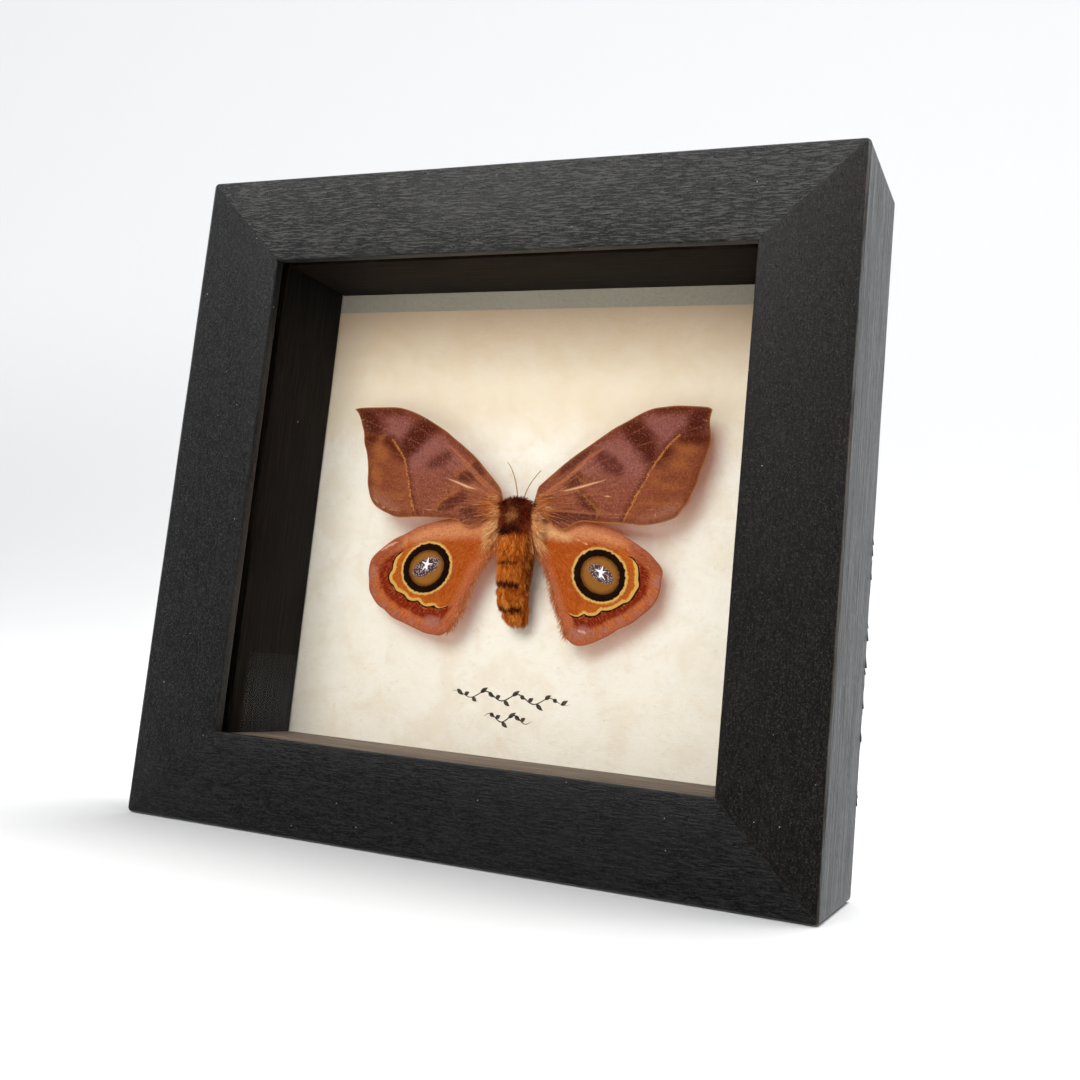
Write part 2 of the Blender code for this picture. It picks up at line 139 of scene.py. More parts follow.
def objectSpace(tree, scale=(1, 1, 1), turn=(0, 0, 0)):
    source = place(tree, "ShaderNodeTexCoord").outputs["Object"]
    return place(tree, "ShaderNodeMapping", {"Vector": source, "Scale": scale, "Rotation": turn}).outputs[0]


def painted(tree, name):  # a value that was worked out on the mesh
    return place(tree, "ShaderNodeAttribute", attribute_name=name).outputs["Fac"]


def paintedVector(tree, name):
    return place(tree, "ShaderNodeAttribute", attribute_name=name).outputs["Vector"]


def relief(tree, height, depth):
    return place(tree, "ShaderNodeBump", {"Strength": 1.0, "Distance": depth, "Height": height}).outputs[0]


def newMaterial(name, roughness=0.6, **sockets):
    material = bpy.data.materials.new(name)
    material.use_nodes = True
    tree = material.node_tree
    shader = tree.nodes["Principled BSDF"]
    shader.inputs["Roughness"].default_value = roughness
    for key, value in sockets.items():
        shader.inputs[key.replace("_", " ")].default_value = value
    return material, tree


def finishMaterial(material, colour, height=None, depth=0.0, rough=None):  # links what the looks have made
    tree = material.node_tree
    sockets = tree.nodes["Principled BSDF"].inputs
    tree.links.new(colour, sockets["Base Color"])
    if height is not None:
        tree.links.new(relief(tree, height, depth), sockets["Normal"])
    if rough is not None:
        tree.links.new(rough, sockets["Roughness"])
    return material


def letLightThrough(material, colour):  # shadow rays pass the material, and take its colour with them
    tree = material.node_tree
    through = place(tree, "ShaderNodeBsdfTransparent", {0: colour})
    shadow = place(tree, "ShaderNodeLightPath").outputs["Is Shadow Ray"]
    shader = tree.nodes["Principled BSDF"].outputs[0]
    mixed = place(tree, "ShaderNodeMixShader", {0: shadow, 1: shader, 2: through.outputs[0]})
    tree.links.new(mixed.outputs[0], tree.nodes["Material Output"].inputs["Surface"])


def newGroup(name, inputs, outputs):
    group = bpy.data.node_groups.new(name, "ShaderNodeTree")
    for key, kind, value in inputs:
        socket = group.interface.new_socket(key, in_out="INPUT", socket_type=kind)
        if value is not None:
            socket.default_value = value
    for key, kind in outputs:
        group.interface.new_socket(key, in_out="OUTPUT", socket_type=kind)
    source = group.nodes.new("NodeGroupInput")
    target = group.nodes.new("NodeGroupOutput")
    return group, source, target


def useGroup(tree, group, inputs):
    return place(tree, "ShaderNodeGroup", inputs, node_tree=group)


# wood grain that runs along X: fine wavy ridges and open pores
def makeGrainGroup():
    group, source, target = newGroup("woodGrain", [
        ("Vector", "NodeSocketVector", None), ("Waviness", "NodeSocketFloat", 0.6),
        ("Ridges", "NodeSocketFloat", 1900.0), ("Length", "NodeSocketFloat", 170.0)],
        [("Height", "NodeSocketFloat"), ("Pores", "NodeSocketFloat")])
    vector = source.outputs["Vector"]
    sway = centred(group, grainy(group, vector, 95.0, 2.0), source.outputs["Waviness"])
    split = place(group, "ShaderNodeSeparateXYZ", {0: vector})
    along = times(group, split.outputs[0], source.outputs["Length"])
    across = plus(group, times(group, split.outputs[2], source.outputs["Ridges"]), times(group, sway, 9.0))
    deep = times(group, split.outputs[1], source.outputs["Ridges"])
    stretched = place(group, "ShaderNodeCombineXYZ", {0: along, 1: deep, 2: across}).outputs[0]
    ridges = grainy(group, stretched, 1.0, 3.0, 0.65, 0.2)
    pores = grainy(group, stretched, 1.9, 1.0)
    group.links.new(ridges, target.inputs["Height"])
    group.links.new(rise(group, pores, 0.60, 0.72), target.inputs["Pores"])
    return group


# pale specks that have settled on a surface
def makeDustGroup():
    group, source, target = newGroup("dustSpecks", [
        ("Vector", "NodeSocketVector", None), ("Spacing", "NodeSocketFloat", 420.0),
        ("Amount", "NodeSocketFloat", 0.12)], [("Mask", "NodeSocketFloat")])
    cells = place(group, "ShaderNodeTexVoronoi", {"Vector": source.outputs["Vector"],
                                                  "Scale": source.outputs["Spacing"], "Randomness": 1.0})
    chosen = place(group, "ShaderNodeSeparateColor", {0: cells.outputs["Color"]})
    size = times(group, chosen.outputs[1], 0.085)
    speck = calc(group, "LESS_THAN", cells.outputs["Distance"], size)
    kept = calc(group, "LESS_THAN", chosen.outputs[0], source.outputs["Amount"])
    group.links.new(times(group, speck, kept), target.inputs["Mask"])
    return group


# rubbed edges, lightened also as a painted highlight: where the rounded normal leaves the flat one, broken up
# by noise
def makeEdgeGroup():
    group, source, target = newGroup("rubbedEdgesAndHighlight", [
        ("Vector", "NodeSocketVector", None), ("Reach", "NodeSocketFloat", 0.0004),
        ("Breaks", "NodeSocketFloat", 260.0)], [("Mask", "NodeSocketFloat")])
    rounded = place(group, "ShaderNodeBevel", {"Radius": source.outputs["Reach"]}, samples=4).outputs[0]
    flat = place(group, "ShaderNodeNewGeometry").outputs["Normal"]
    same = place(group, "ShaderNodeVectorMath", {0: rounded, 1: flat}, operation="DOT_PRODUCT")
    edge = fall(group, same.outputs["Value"], 0.90, 0.995)
    broken = rise(group, grainy(group, source.outputs["Vector"], source.outputs["Breaks"], 3.0), 0.42, 0.62)
    group.links.new(times(group, edge, broken), target.inputs["Mask"])
    return group


# wing scales: a fine speckle of paler and darker scales, and their raised rows
def makeScaleGroup():
    group, source, target = newGroup("wingScales", [
        ("Vector", "NodeSocketVector", None), ("Fineness", "NodeSocketFloat", 2900.0)],
        [("Speck", "NodeSocketFloat"), ("Cloud", "NodeSocketFloat"), ("Height", "NodeSocketFloat")])
    vector = source.outputs["Vector"]
    fine = grainy(group, vector, source.outputs["Fineness"], 2.0, 0.75)
    cloud = grainy(group, vector, 620.0, 4.0, 0.65)
    group.links.new(fine, target.inputs["Speck"])
    group.links.new(cloud, target.inputs["Cloud"])
    group.links.new(plus(group, fine, times(group, cloud, 0.4)), target.inputs["Height"])
    return group


grainGroup = makeGrainGroup()
dustGroup = makeDustGroup()
edgeGroup = makeEdgeGroup()
scaleGroup = makeScaleGroup()
print("shader groups built")

lying = (0, 0, 0)
upright = (0, math.radians(90), 0)


# black paint on the mouldings: the rails show their grain, the stiles' fronts are finely stippled. Each
# moulding has its own copy, with painted light making the top rail lighter and the bottom rail darker
paint = {
    "dust": tone(168, 164, 154),
    "roughness": 0.42,
    "grainDepth": 0.00016,
    "ridges": 3700.0, "length": 420.0, "waviness": 0.18,
    "outerSide": 0.0697,  # beyond this the side of a stile is streaked pale grey along its length
    "woods": {  # which way the grain turns, paint, streaks, specks, how far grain and stipple show
        # the top rail's copy is lit and the bottom rail's shaded with painted light; the stiles lie between
        "blackTopWoodLit": (lying, tone(11, 11, 12), tone(64, 63, 61), tone(84, 82, 78), 0.9, 0.35),
        "blackLowWoodShaded": (lying, tone(6, 6, 7), tone(30, 30, 30), tone(62, 60, 56), 0.8, 0.30),
        "blackLeftWood": (upright, tone(15, 15, 16), tone(42, 41, 41), tone(72, 71, 69), 0.22, 0.50),
        "blackRightWood": (upright, tone(12, 10, 9), tone(34, 29, 26), tone(76, 69, 63), 0.22, 0.38),
    },
}


def woodGrain(tree, vector, setup):
    return useGroup(tree, grainGroup, {
        "Vector": vector, "Ridges": setup["ridges"], "Length": setup["length"], "Waviness": setup["waviness"],
    })


def makeBlackWood(name, turn, colour, streak, speck, grain, stipple):
    material, tree = newMaterial(name, paint["roughness"], Specular_IOR_Level=0.38)
    vector = objectSpace(tree, turn=turn)
    wood = woodGrain(tree, vector, paint)
    dust = useGroup(tree, dustGroup, {"Vector": vector, "Amount": 0.30})
    rubbedAndHighlit = useGroup(tree, edgeGroup, {"Vector": vector})
    sideways = calc(tree, "ABSOLUTE", axis(tree, objectSpace(tree), 0))
    outer = rise(tree, sideways, paint["outerSide"] - 0.0002, paint["outerSide"])
    broad = grainy(tree, vector, 38.0, 4.0, 0.6)
    dots = grainy(tree, vector, 4300.0, 2.0, 0.65)
    lines = rise(tree, wood.outputs["Height"], 0.47, 0.62)
    shown = times(tree, lines, blend(tree, outer, (grain,) * 3 + (1,), (0.9, 0.9, 0.9, 1)))
    base = blend(tree, shown, colour, streak)
    base = blend(tree, rise(tree, broad, 0.45, 0.75, 0.25), base, streak)
    base = blend(tree, times(tree, rise(tree, dots, 0.52, 0.68), stipple), base, speck)
    base = blend(tree, times(tree, wood.outputs["Pores"], 0.75), base, tone(6, 6, 6))
    sides = grainy(tree, objectSpace(tree, (1, 1, 0.03)), 1500.0, 4.0, 0.75, 0.4)
    streaked = blend(tree, rise(tree, sides, 0.42, 0.60), tone(6, 7, 7), tone(92, 95, 95))
    base = blend(tree, outer, base, streaked)
    forward = axis(tree, objectSpace(tree), 1)
    corner = times(tree, fall(tree, forward, -0.01545, -0.01520), rise(tree, sideways, 0.0694, 0.0697))
    base = blend(tree, times(tree, corner, rise(tree, broad, 0.35, 0.60, 0.8)), base, tone(86, 80, 72))
    # edges lightened a little: rubbed paint and a painted highlight
    base = blend(tree, times(tree, rubbedAndHighlit.outputs["Mask"], 0.30), base, speck)
    base = blend(tree, times(tree, dust.outputs["Mask"], 0.8), base, paint["dust"])
    rough = plus(tree, rise(tree, wood.outputs["Height"], 0.3, 0.75, 0.16), paint["roughness"] - 0.05)
    height = times(tree, wood.outputs["Height"], blend(tree, outer, (grain,) * 3 + (1,), (1, 1, 1, 1)))
    height = plus(tree, height, times(tree, dots, stipple * 0.6))
    height = calc(tree, "SUBTRACT", height, times(tree, wood.outputs["Pores"], 0.35))
    return finishMaterial(material, base, height, paint["grainDepth"], rough)


blackWoods = {name: makeBlackWood(name, *looks) for name, looks in paint["woods"].items()}


# dark stained wood of the inner walls, with a few dust specks; the lowest one is painted much paler, as
# painted light falling on it from above
innerWood = {
    "dust": tone(150, 140, 124),
    "roughness": 0.7,
    "ridges": 2600.0, "length": 60.0, "waviness": 0.2,
    "round": 0.00018,  # of its edges
    "woods": {
        "innerStileWood": (upright, tone(11, 8, 6), tone(38, 31, 24)),
        "innerRailWood": (lying, tone(18, 12, 8), tone(44, 33, 24)),
        # painted light: the ledge is a lit copy of the dark wood
        "innerLedgeWoodLit": (lying, tone(110, 96, 82), tone(160, 144, 128)),
    },
    "sides": {"left": "innerStileWood", "right": "innerStileWood", "top": "innerRailWood",
              "bottom": "innerLedgeWoodLit"},
}


def makeInnerWood(name, turn, colour, streak):
    material, tree = newMaterial(name, innerWood["roughness"], Specular_IOR_Level=0.12)
    vector = objectSpace(tree, turn=turn)
    wood = woodGrain(tree, vector, innerWood)
    dust = useGroup(tree, dustGroup, {"Vector": vector, "Spacing": 300.0, "Amount": 0.10})
    base = blend(tree, rise(tree, wood.outputs["Height"], 0.44, 0.66, 0.9), colour, streak)
    base = blend(tree, dust.outputs["Mask"], base, innerWood["dust"])
    return finishMaterial(material, base, wood.outputs["Height"], 0.00008)


innerWoods = {name: makeInnerWood(name, *looks) for name, looks in innerWood["woods"].items()}


# parchment card: cloudy, with short fibres, and a bare grey strip along its top; painted shade darkens it
# under the top rail and towards its edges
card = {
    "colour": tone(250, 243, 228),
    "cloud": tone(241, 229, 206),
    "stain": tone(228, 209, 180),
    "fibre": tone(212, 192, 162),
    "strip": tone(192, 184, 164),
    "stripFrom": 0.11107,
    "paintedTopShade": tone(226, 192, 150),  # painted shadow of the top rail along the card's top edge
    "paintedTopShadeFrom": 0.092,
    "paintedEdgeShade": tone(234, 212, 178),  # painted shade, a little all round and further down from the top
    "paintedEdgeShadeFrom": 0.030,
    "middle": (0, 0.0125, 0.066),
}


def makeParchment():
    material, tree = newMaterial("parchmentCard", 0.88, Specular_IOR_Level=0.2)
    vector = objectSpace(tree)
    clouds = grainy(tree, vector, 150.0, 6.0, 0.66, 0.5)
    stains = grainy(tree, objectSpace(tree, (1, 1, 0.7)), 34.0, 4.0, 0.6, 0.3)
    fibres = grainy(tree, objectSpace(tree, (1, 1, 1.8)), 900.0, 3.0, 0.7, 1.6)
    colour = blend(tree, rise(tree, clouds, 0.40, 0.68, 0.7), card["colour"], card["cloud"])
    colour = blend(tree, rise(tree, stains, 0.55, 0.80, 0.3), colour, card["stain"])
    colour = blend(tree, rise(tree, fibres, 0.52, 0.78, 0.42), colour, card["fibre"])
    height = axis(tree, vector, 2)
    # painted shadow of the top rail, reaching down from the card's top edge, broken up by the clouds
    paintedTopShade = plus(tree, height, centred(tree, clouds, 0.012))
    middle = place(tree, "ShaderNodeVectorMath", {0: vector, 1: card["middle"]}, operation="SUBTRACT")
    out = place(tree, "ShaderNodeVectorMath", {0: middle.outputs[0]}, operation="LENGTH").outputs["Value"]
    out = plus(tree, out, centred(tree, clouds, 0.016))
    # painted shade, a little darker and warmer towards the walls
    outward = rise(tree, out, card["paintedEdgeShadeFrom"], card["paintedEdgeShadeFrom"] + 0.032, 0.05)
    colour = blend(tree, outward, colour, card["paintedEdgeShade"])
    # painted shade reaching further down from the top rail
    colour = blend(tree, rise(tree, paintedTopShade, 0.076, 0.090, 0.6), colour, card["paintedEdgeShade"])
    # painted shadow of the top rail, strongest just under it
    colour = blend(tree, rise(tree, paintedTopShade, card["paintedTopShadeFrom"], card["stripFrom"] + 0.002, 0.65), colour,
                   card["paintedTopShade"])
    edge = plus(tree, height, centred(tree, fibres, 0.0002))
    colour = blend(tree, rise(tree, edge, card["stripFrom"] - 0.00005, card["stripFrom"] + 0.00005), colour,
                   blend(tree, rise(tree, fibres, 0.40, 0.66, 0.35), card["strip"], tone(160, 148, 124)))
    bump = plus(tree, clouds, times(tree, fibres, 0.5))
    return finishMaterial(material, colour, bump, 0.00012)


def makeGlass():
    material, tree = newMaterial("pictureGlass", 0.0, Transmission_Weight=1.0, IOR=1.18)
    smear = grainy(tree, objectSpace(tree), 60.0, 3.0)
    tint = blend(tree, rise(tree, smear, 0.3, 0.8), (1.0, 1.0, 1.0, 1), (0.985, 0.99, 0.985, 1))
    letLightThrough(material, (1, 1, 1, 1))
    return finishMaterial(material, tint)


def makeFibreBoard():
    material, tree = newMaterial("brownFibreBoard", 0.8)
    vector = objectSpace(tree)
    specks = grainy(tree, vector, 1500.0, 4.0, 0.7, 1.0)
    clouds = grainy(tree, vector, 40.0, 3.0)
    colour = blend(tree, rise(tree, specks, 0.35, 0.70), tone(112, 78, 48), tone(158, 120, 80))
    colour = blend(tree, rise(tree, clouds, 0.40, 0.70, 0.35), colour, tone(96, 66, 42))
    return finishMaterial(material, colour, specks, 0.00008)


def makeSteel():
    material, tree = newMaterial("zincSteel", 0.36, Metallic=1.0)
    vector = objectSpace(tree)
    spangle = grainy(tree, vector, 900.0, 2.0)
    scratches = grainy(tree, objectSpace(tree, (1, 1, 14)), 700.0, 2.0)
    colour = blend(tree, rise(tree, spangle, 0.35, 0.70), tone(176, 175, 170), tone(208, 207, 202))
    rough = plus(tree, rise(tree, scratches, 0.35, 0.75, 0.22), 0.26)
    return finishMaterial(material, colour, scratches, 0.00002, rough)


def makeInk():
    material, tree = newMaterial("brownInk", 0.75, Specular_IOR_Level=0.2)
    patchy = grainy(tree, objectSpace(tree), 1800.0, 3.0)
    colour = blend(tree, rise(tree, patchy, 0.35, 0.75), tone(52, 42, 34), tone(88, 74, 60))
    return finishMaterial(material, colour)


parchment = makeParchment()
glass = makeGlass()
fibreBoard = makeFibreBoard()
steel = makeSteel()
ink = makeInk()


# ways to make and place pieces
def addPiece(name, mesh, material, stands=(), smoothAngle=None):
    piece = bpy.data.objects.new(name, mesh)
    bpy.context.scene.collection.objects.link(piece)
    mesh.materials.clear()
    mesh.materials.append(material)
    if smoothAngle is not None:
        mesh.shade_smooth()
        mesh.set_sharp_from_angle(angle=math.radians(smoothAngle))
    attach(piece, "root")
    if stands:
        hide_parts(*stands)
    return piece


def meshFrom(shape, name):
    mesh = bpy.data.meshes.new(name)
    shape.to_mesh(mesh)
    shape.free()
    return mesh


def vertsIn(made):
    return [item for item in made if isinstance(item, bmesh.types.BMVert)]


def facesIn(made):
    return [item for item in made if isinstance(item, bmesh.types.BMFace)]


def placesIn(mesh):
    places = np.zeros(len(mesh.vertices) * 3)
    mesh.vertices.foreach_get("co", places)
    return places.reshape(-1, 3)


def dress(names, material):  # gives a solid that stays its finish
    for name in names:
        solid = nodes[name]
        solid.data.materials.clear()
        solid.data.materials.append(material)


# the four mouldings, each made as a bottom rail and then turned to its side
moulding = {
    "width": 0.140, "height": 0.1325, "depth": 0.029,
    "stileFace": 0.0188, "railFace": 0.0178,
    "lip": 0.0023, "rebate": 0.006,
    "joint": 0.00007, "edgeRound": 0.00035, "cornerRound": 0.0009,
    "sway": 0.00005, "swaySeed": 4, "cuts": 44,
}


def mouldingShape(length, face, crossFace):
    slope = crossFace / face
    wall = face - moulding["rebate"]
    radius = moulding["cornerRound"]
    end = length / 2 - moulding["joint"] / 2
    outer = []
    for step in range(5):  # the outer corner is rounded up to the mitre
        angle = math.radians(-90 + 45 * step / 4)
        outer.append((end - radius + radius * math.cos(angle), radius + radius * math.sin(angle)))
    shape = bmesh.new()
    left = [shape.verts.new((-x, frontY, z)) for x, z in reversed(outer)]
    right = [shape.verts.new((x, frontY, z)) for x, z in outer]
    wallLeft = shape.verts.new((-end + wall * slope, frontY, wall))
    wallRight = shape.verts.new((end - wall * slope, frontY, wall))
    lipLeft = shape.verts.new((-end + face * slope, frontY, face))
    lipRight = shape.verts.new((end - face * slope, frontY, face))
    body = shape.faces.new(left + right + [wallRight, wallLeft])
    lip = shape.faces.new([wallLeft, wallRight, lipRight, lipLeft])
    made = bmesh.ops.extrude_face_region(shape, geom=[body, lip])["geom"]
    bmesh.ops.translate(shape, vec=(0, moulding["lip"], 0), verts=vertsIn(made))
    backs = facesIn(made)
    deep = max(backs, key=lambda f: len(f.verts))
    made = bmesh.ops.extrude_face_region(shape, geom=[deep])["geom"]
    bmesh.ops.translate(shape, vec=(0, moulding["depth"] - moulding["lip"], 0), verts=vertsIn(made))
    bmesh.ops.delete(shape, geom=[f for f in [deep] if f.is_valid], context="FACES_ONLY")
    bmesh.ops.recalc_face_normals(shape, faces=shape.faces)
    return shape


def isLengthwise(edge, length, face):
    one, two = (vert.co for vert in edge.verts)
    if abs(one.y - two.y) > 1e-6:
        return False
    backY = frontY + moulding["depth"]
    outside = all(v.z < moulding["cornerRound"] and (v.y < frontY + 1e-6 or v.y > backY - 1e-6)
                  for v in (one, two))
    along = abs(one.z - two.z) < 1e-6 and abs(one.x - two.x) > length / 2
    ledge = along and abs(one.z - (face - moulding["rebate"])) < 1e-6 and abs(one.y - frontY) < 0.004
    return (outside or along) and not ledge


def makeMoulding(name, turn, middle, length, face, crossFace, material):
    shape = mouldingShape(length, face, crossFace)
    edges = [edge for edge in shape.edges if isLengthwise(edge, length, face)]
    bmesh.ops.bevel(shape, geom=edges, offset=moulding["edgeRound"], segments=3, profile=0.5,
                    affect="EDGES", material=-1, clamp_overlap=True)
    for cut in range(1, moulding["cuts"]):
        spot = (cut / moulding["cuts"] - 0.5) * (length - 2 * crossFace)
        bmesh.ops.bisect_plane(shape, geom=shape.verts[:] + shape.edges[:] + shape.faces[:],
                               plane_co=(spot, 0, 0), plane_no=(1, 0, 0))
    side = Matrix.Translation(middle) @ Matrix.Rotation(math.radians(turn), 4, "Y")
    bmesh.ops.transform(shape, matrix=side, verts=shape.verts)
    for vert in shape.verts:
        push = noise.noise_vector(vert.co * 55) * moulding["sway"]
        vert.co += Vector((push.x, 0, push.z))
    addPiece(name, meshFrom(shape, name), material, [f"frame_{name}"], smoothAngle=35)


noise.seed_set(moulding["swaySeed"])
half = moulding["width"] / 2
tall = moulding["height"]
rail = moulding["railFace"]
stile = moulding["stileFace"]
makeMoulding("bottom_rail", 0, (0, 0, 0), 2 * half, rail, stile, blackWoods["blackLowWoodShaded"])
makeMoulding("left_stile", 90, (-half, 0, tall / 2), tall, stile, rail, blackWoods["blackLeftWood"])
makeMoulding("top_rail", 180, (0, 0, tall), 2 * half, rail, stile, blackWoods["blackTopWoodLit"])
makeMoulding("right_stile", -90, (half, 0, tall / 2), tall, stile, rail, blackWoods["blackRightWood"])


# slivers that have lifted along the right stile's back edge
sliver = {
    "count": 26, "from": 16.0, "to": 66.0, "length": (1.4, 4.2), "radius": (0.14, 0.27), "tilt": (2, 7),
    "side": 0.06993, "back": 0.01335, "seed": 5,
}


def makeSlivers(setup):
    random = np.random.default_rng(setup["seed"])
    shape = bmesh.new()
    for height in random.uniform(setup["from"], setup["to"], setup["count"]):
        length = random.uniform(*setup["length"]) * mm
        tilt = math.radians(random.uniform(*setup["tilt"])) * random.choice((-1, 1))
        depth = setup["back"] + random.uniform(-0.4, 0.1) * mm
        spot = Matrix.Translation((setup["side"], depth, height * mm))
        bmesh.ops.create_cone(shape, cap_ends=True, segments=5, radius2=0, depth=length,
                              radius1=random.uniform(*setup["radius"]) * mm,
                              matrix=spot @ Matrix.Rotation(tilt, 4, "Y"))
    bmesh.ops.recalc_face_normals(shape, faces=shape.faces)
    addPiece("stile_slivers", meshFrom(shape, "stile_slivers"), blackWoods["blackRightWood"])


makeSlivers(sliver)
print("mouldings made")


# inner walls between the glass and the card
def makeInnerWall(side, material):
    node = f"spacer_{side}"
    name = f"inner_wall_{side}"
    low, high = (Vector(corner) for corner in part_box(node))
    shape = bmesh.new()
    bmesh.ops.create_cube(shape, size=1)
    bmesh.ops.scale(shape, vec=high - low, verts=shape.verts)
    bmesh.ops.translate(shape, vec=(low + high) / 2, verts=shape.verts)
    bmesh.ops.bevel(shape, geom=shape.edges[:], offset=innerWood["round"], segments=2, profile=0.5,
                    affect="EDGES", material=-1)
    addPiece(name, meshFrom(shape, name), material, [node], smoothAngle=35)


for side, wood in innerWood["sides"].items():
    makeInnerWall(side, innerWoods[wood])

dress(["glass_pane"], glass)
dress(["card"], parchment)
dress(["backing_board"], fibreBoard)
dress(["sawtooth_hanger", "hanger_nail_left", "hanger_nail_right", "mounting_pin"], steel)
dress([name for name in nodes if name.startswith("retaining_point")], steel)
print("box finished")


# lines and shapes are given in millimetres as X and Z; True as a third value marks a sharp corner
def smoothLine(points, closed=False, spacing=0.25):
    knots = np.array([point[:2] for point in points], float)
    sharp = [len(point) > 2 for point in points]
    count = len(knots)
    if not closed:
        sharp[0] = sharp[-1] = True
    runs = np.roll(knots, -1, 0) - knots
    lengths = np.hypot(*runs.T)
    made = []
    for index in range(count if closed else count - 1):
        after = (index + 1) % count
        span = lengths[index]
        straight = runs[index] / span
        start = straight if sharp[index] else (runs[index - 1] + runs[index]) / (lengths[index - 1] + span)
        end = straight if sharp[after] else (runs[index] + runs[after]) / (span + lengths[after])
        steps = max(2, math.ceil(span / spacing))
        for t in np.arange(steps) / steps:
            near = (2 * t ** 3 - 3 * t ** 2 + 1) * knots[index] + (t ** 3 - 2 * t ** 2 + t) * span * start
            made.append(near + (3 * t ** 2 - 2 * t ** 3) * knots[after] + (t ** 3 - t ** 2) * span * end)
    if not closed:
        made.append(knots[-1])
    return np.array(made)


def strokeField(points, strokes):  # half-width less distance, for the nearest of several tapering strokes
    best = np.full(len(points), -50.0)
    for stroke in strokes:
        stroke = np.array(stroke if len(stroke) > 1 else stroke * 2, float)
        for start, end in zip(stroke, stroke[1:]):
            run = end[:2] - start[:2]
            share = np.clip((points - start[:2]) @ run / max(run @ run, 1e-9), 0, 1)
            gap = np.hypot(*(points - start[:2] - share[:, None] * run).T)
            best = np.maximum(best, start[2] + (end[2] - start[2]) * share - gap)
    return best


def lineField(points, line):  # distance to a bent line
    thin = np.column_stack([line, np.zeros(len(line))])
    return -strokeField(points, [thin])


def followField(points, line):  # distance to a bent line, and how far along it the nearest point is
    steps = np.hypot(*np.diff(line, axis=0).T)
    best = np.full(len(points), 1e9)
    along = np.zeros(len(points))
    before = 0.0
    for start, end, step in zip(line, line[1:], steps):
        share = np.clip((points - start) @ (end - start) / max(step * step, 1e-9), 0, 1)
        gap = np.hypot(*(points - start - share[:, None] * (end - start)).T)
        nearer = gap < best
        along[nearer] = ((before + share * step) / steps.sum())[nearer]
        best = np.minimum(best, gap)
        before += step
    return best, along


def insideField(points, shape):  # distance to a closed shape, positive inside it
    shape = np.asarray(shape, float)
    inside = np.zeros(len(points), bool)
    for start, end in zip(shape, np.roll(shape, -1, 0)):
        crosses = (start[1] > points[:, 1]) != (end[1] > points[:, 1])
        climb = end[1] - start[1] if end[1] != start[1] else 1e-9
        reach = start[0] + (points[:, 1] - start[1]) * (end[0] - start[0]) / climb
        inside ^= crosses & (points[:, 0] < reach)
    gap = lineField(points, np.vstack([shape, shape[:1]]))
    return np.where(inside, gap, -gap)


def ovalField(points, centre, halves, tilt):  # 1 on the oval's edge, 0 at its centre
    turn = math.radians(tilt)
    away = points - np.array(centre)
    along = away @ np.array([math.cos(turn), math.sin(turn)])
    across = away @ np.array([-math.sin(turn), math.cos(turn)])
    return np.hypot(along / halves[0], across / halves[1])


# a flat sheet in rings round its middle, out to a smooth outline
def sheetFrom(outline, middle, rings, spacing):
    edge = smoothLine(outline, closed=True, spacing=spacing)
    shape = bmesh.new()
    bmesh.ops.create_grid(shape, x_segments=len(edge), y_segments=rings, size=1)
    around = np.array([(vert.co.x + 1) / 2 * len(edge) for vert in shape.verts])
    outward = np.array([(vert.co.y + 1) / 2 for vert in shape.verts])
    closed = np.vstack([edge, edge[:1]])
    ticks = np.arange(len(closed))
    rim = np.column_stack([np.interp(around, ticks, closed[:, 0]), np.interp(around, ticks, closed[:, 1])])
    spots = np.array(middle) + (rim - np.array(middle)) * outward[:, None] ** 0.85
    for vert, (x, z) in zip(shape.verts, spots):
        vert.co = (x, 0, z)
    bmesh.ops.remove_doubles(shape, verts=shape.verts, dist=1e-4)
    return shape, edge


def setField(mesh, name, values):
    mesh.attributes.new(name, "FLOAT", "POINT").data.foreach_set("value", np.asarray(values, np.float32))


def setVectors(mesh, name, values):
    held = mesh.attributes.new(name, "FLOAT_VECTOR", "POINT")
    held.data.foreach_set("vector", np.asarray(values, np.float32).ravel())


def fanVectors(points, root):  # streaks follow these: angle round the root, and distance from it
    away = points - np.array(root)
    reach = np.hypot(*away.T)
    angle = np.arctan2(away[:, 1], np.abs(away[:, 0]))
    return np.column_stack([angle * 12, reach * 0.08, np.zeros(len(points))]), reach


# a wing in millimetres, flat at first; addFields paints it and tells how far it lifts from a plain arch
wingSheet = {"thick": 0.13, "rings": 46, "spacing": 0.24}


def makeWing(kind, setup, side, material, addFields):
    marks = setup[side]
    shape, edge = sheetFrom(marks["outline"], marks["middle"], wingSheet["rings"], wingSheet["spacing"])
    bmesh.ops.recalc_face_normals(shape, faces=shape.faces)
    bmesh.ops.solidify(shape, geom=shape.faces[:], thickness=wingSheet["thick"])
    mesh = meshFrom(shape, f"{kind}_{side}")
    places = placesIn(mesh)
    places[:, 1] -= places[:, 1].mean()
    spots = places[:, [0, 2]]
    fan, reach = fanVectors(spots, marks["root"])
    fields = {key: strokeField(spots, strokes) for key, strokes in marks["strokes"].items()}
    fields["rim"] = lineField(spots, np.vstack([edge, edge[:1]]))
    fields["reach"] = reach
    lift = addFields(fields, marks, spots, fan, -1 if side == "left" else 1)
    for key, values in fields.items():
        setField(mesh, key, values)
    setVectors(mesh, "fan", fan)
    places[:, 0] += setup["shift"]
    out = np.minimum(np.abs(places[:, 0]) / setup["span"], 1)
    depth = setup["depth"] - setup["arch"] * np.sin(np.pi * out) + setup["droop"] * out ** 2
    places[:, 1] += frontY / mm + depth - lift
    mesh.vertices.foreach_set("co", (places * mm).ravel())
    mesh.update()
    addPiece(f"{kind}_{side}", mesh, material, [f"moth_{kind}_{side}"], smoothAngle=50)


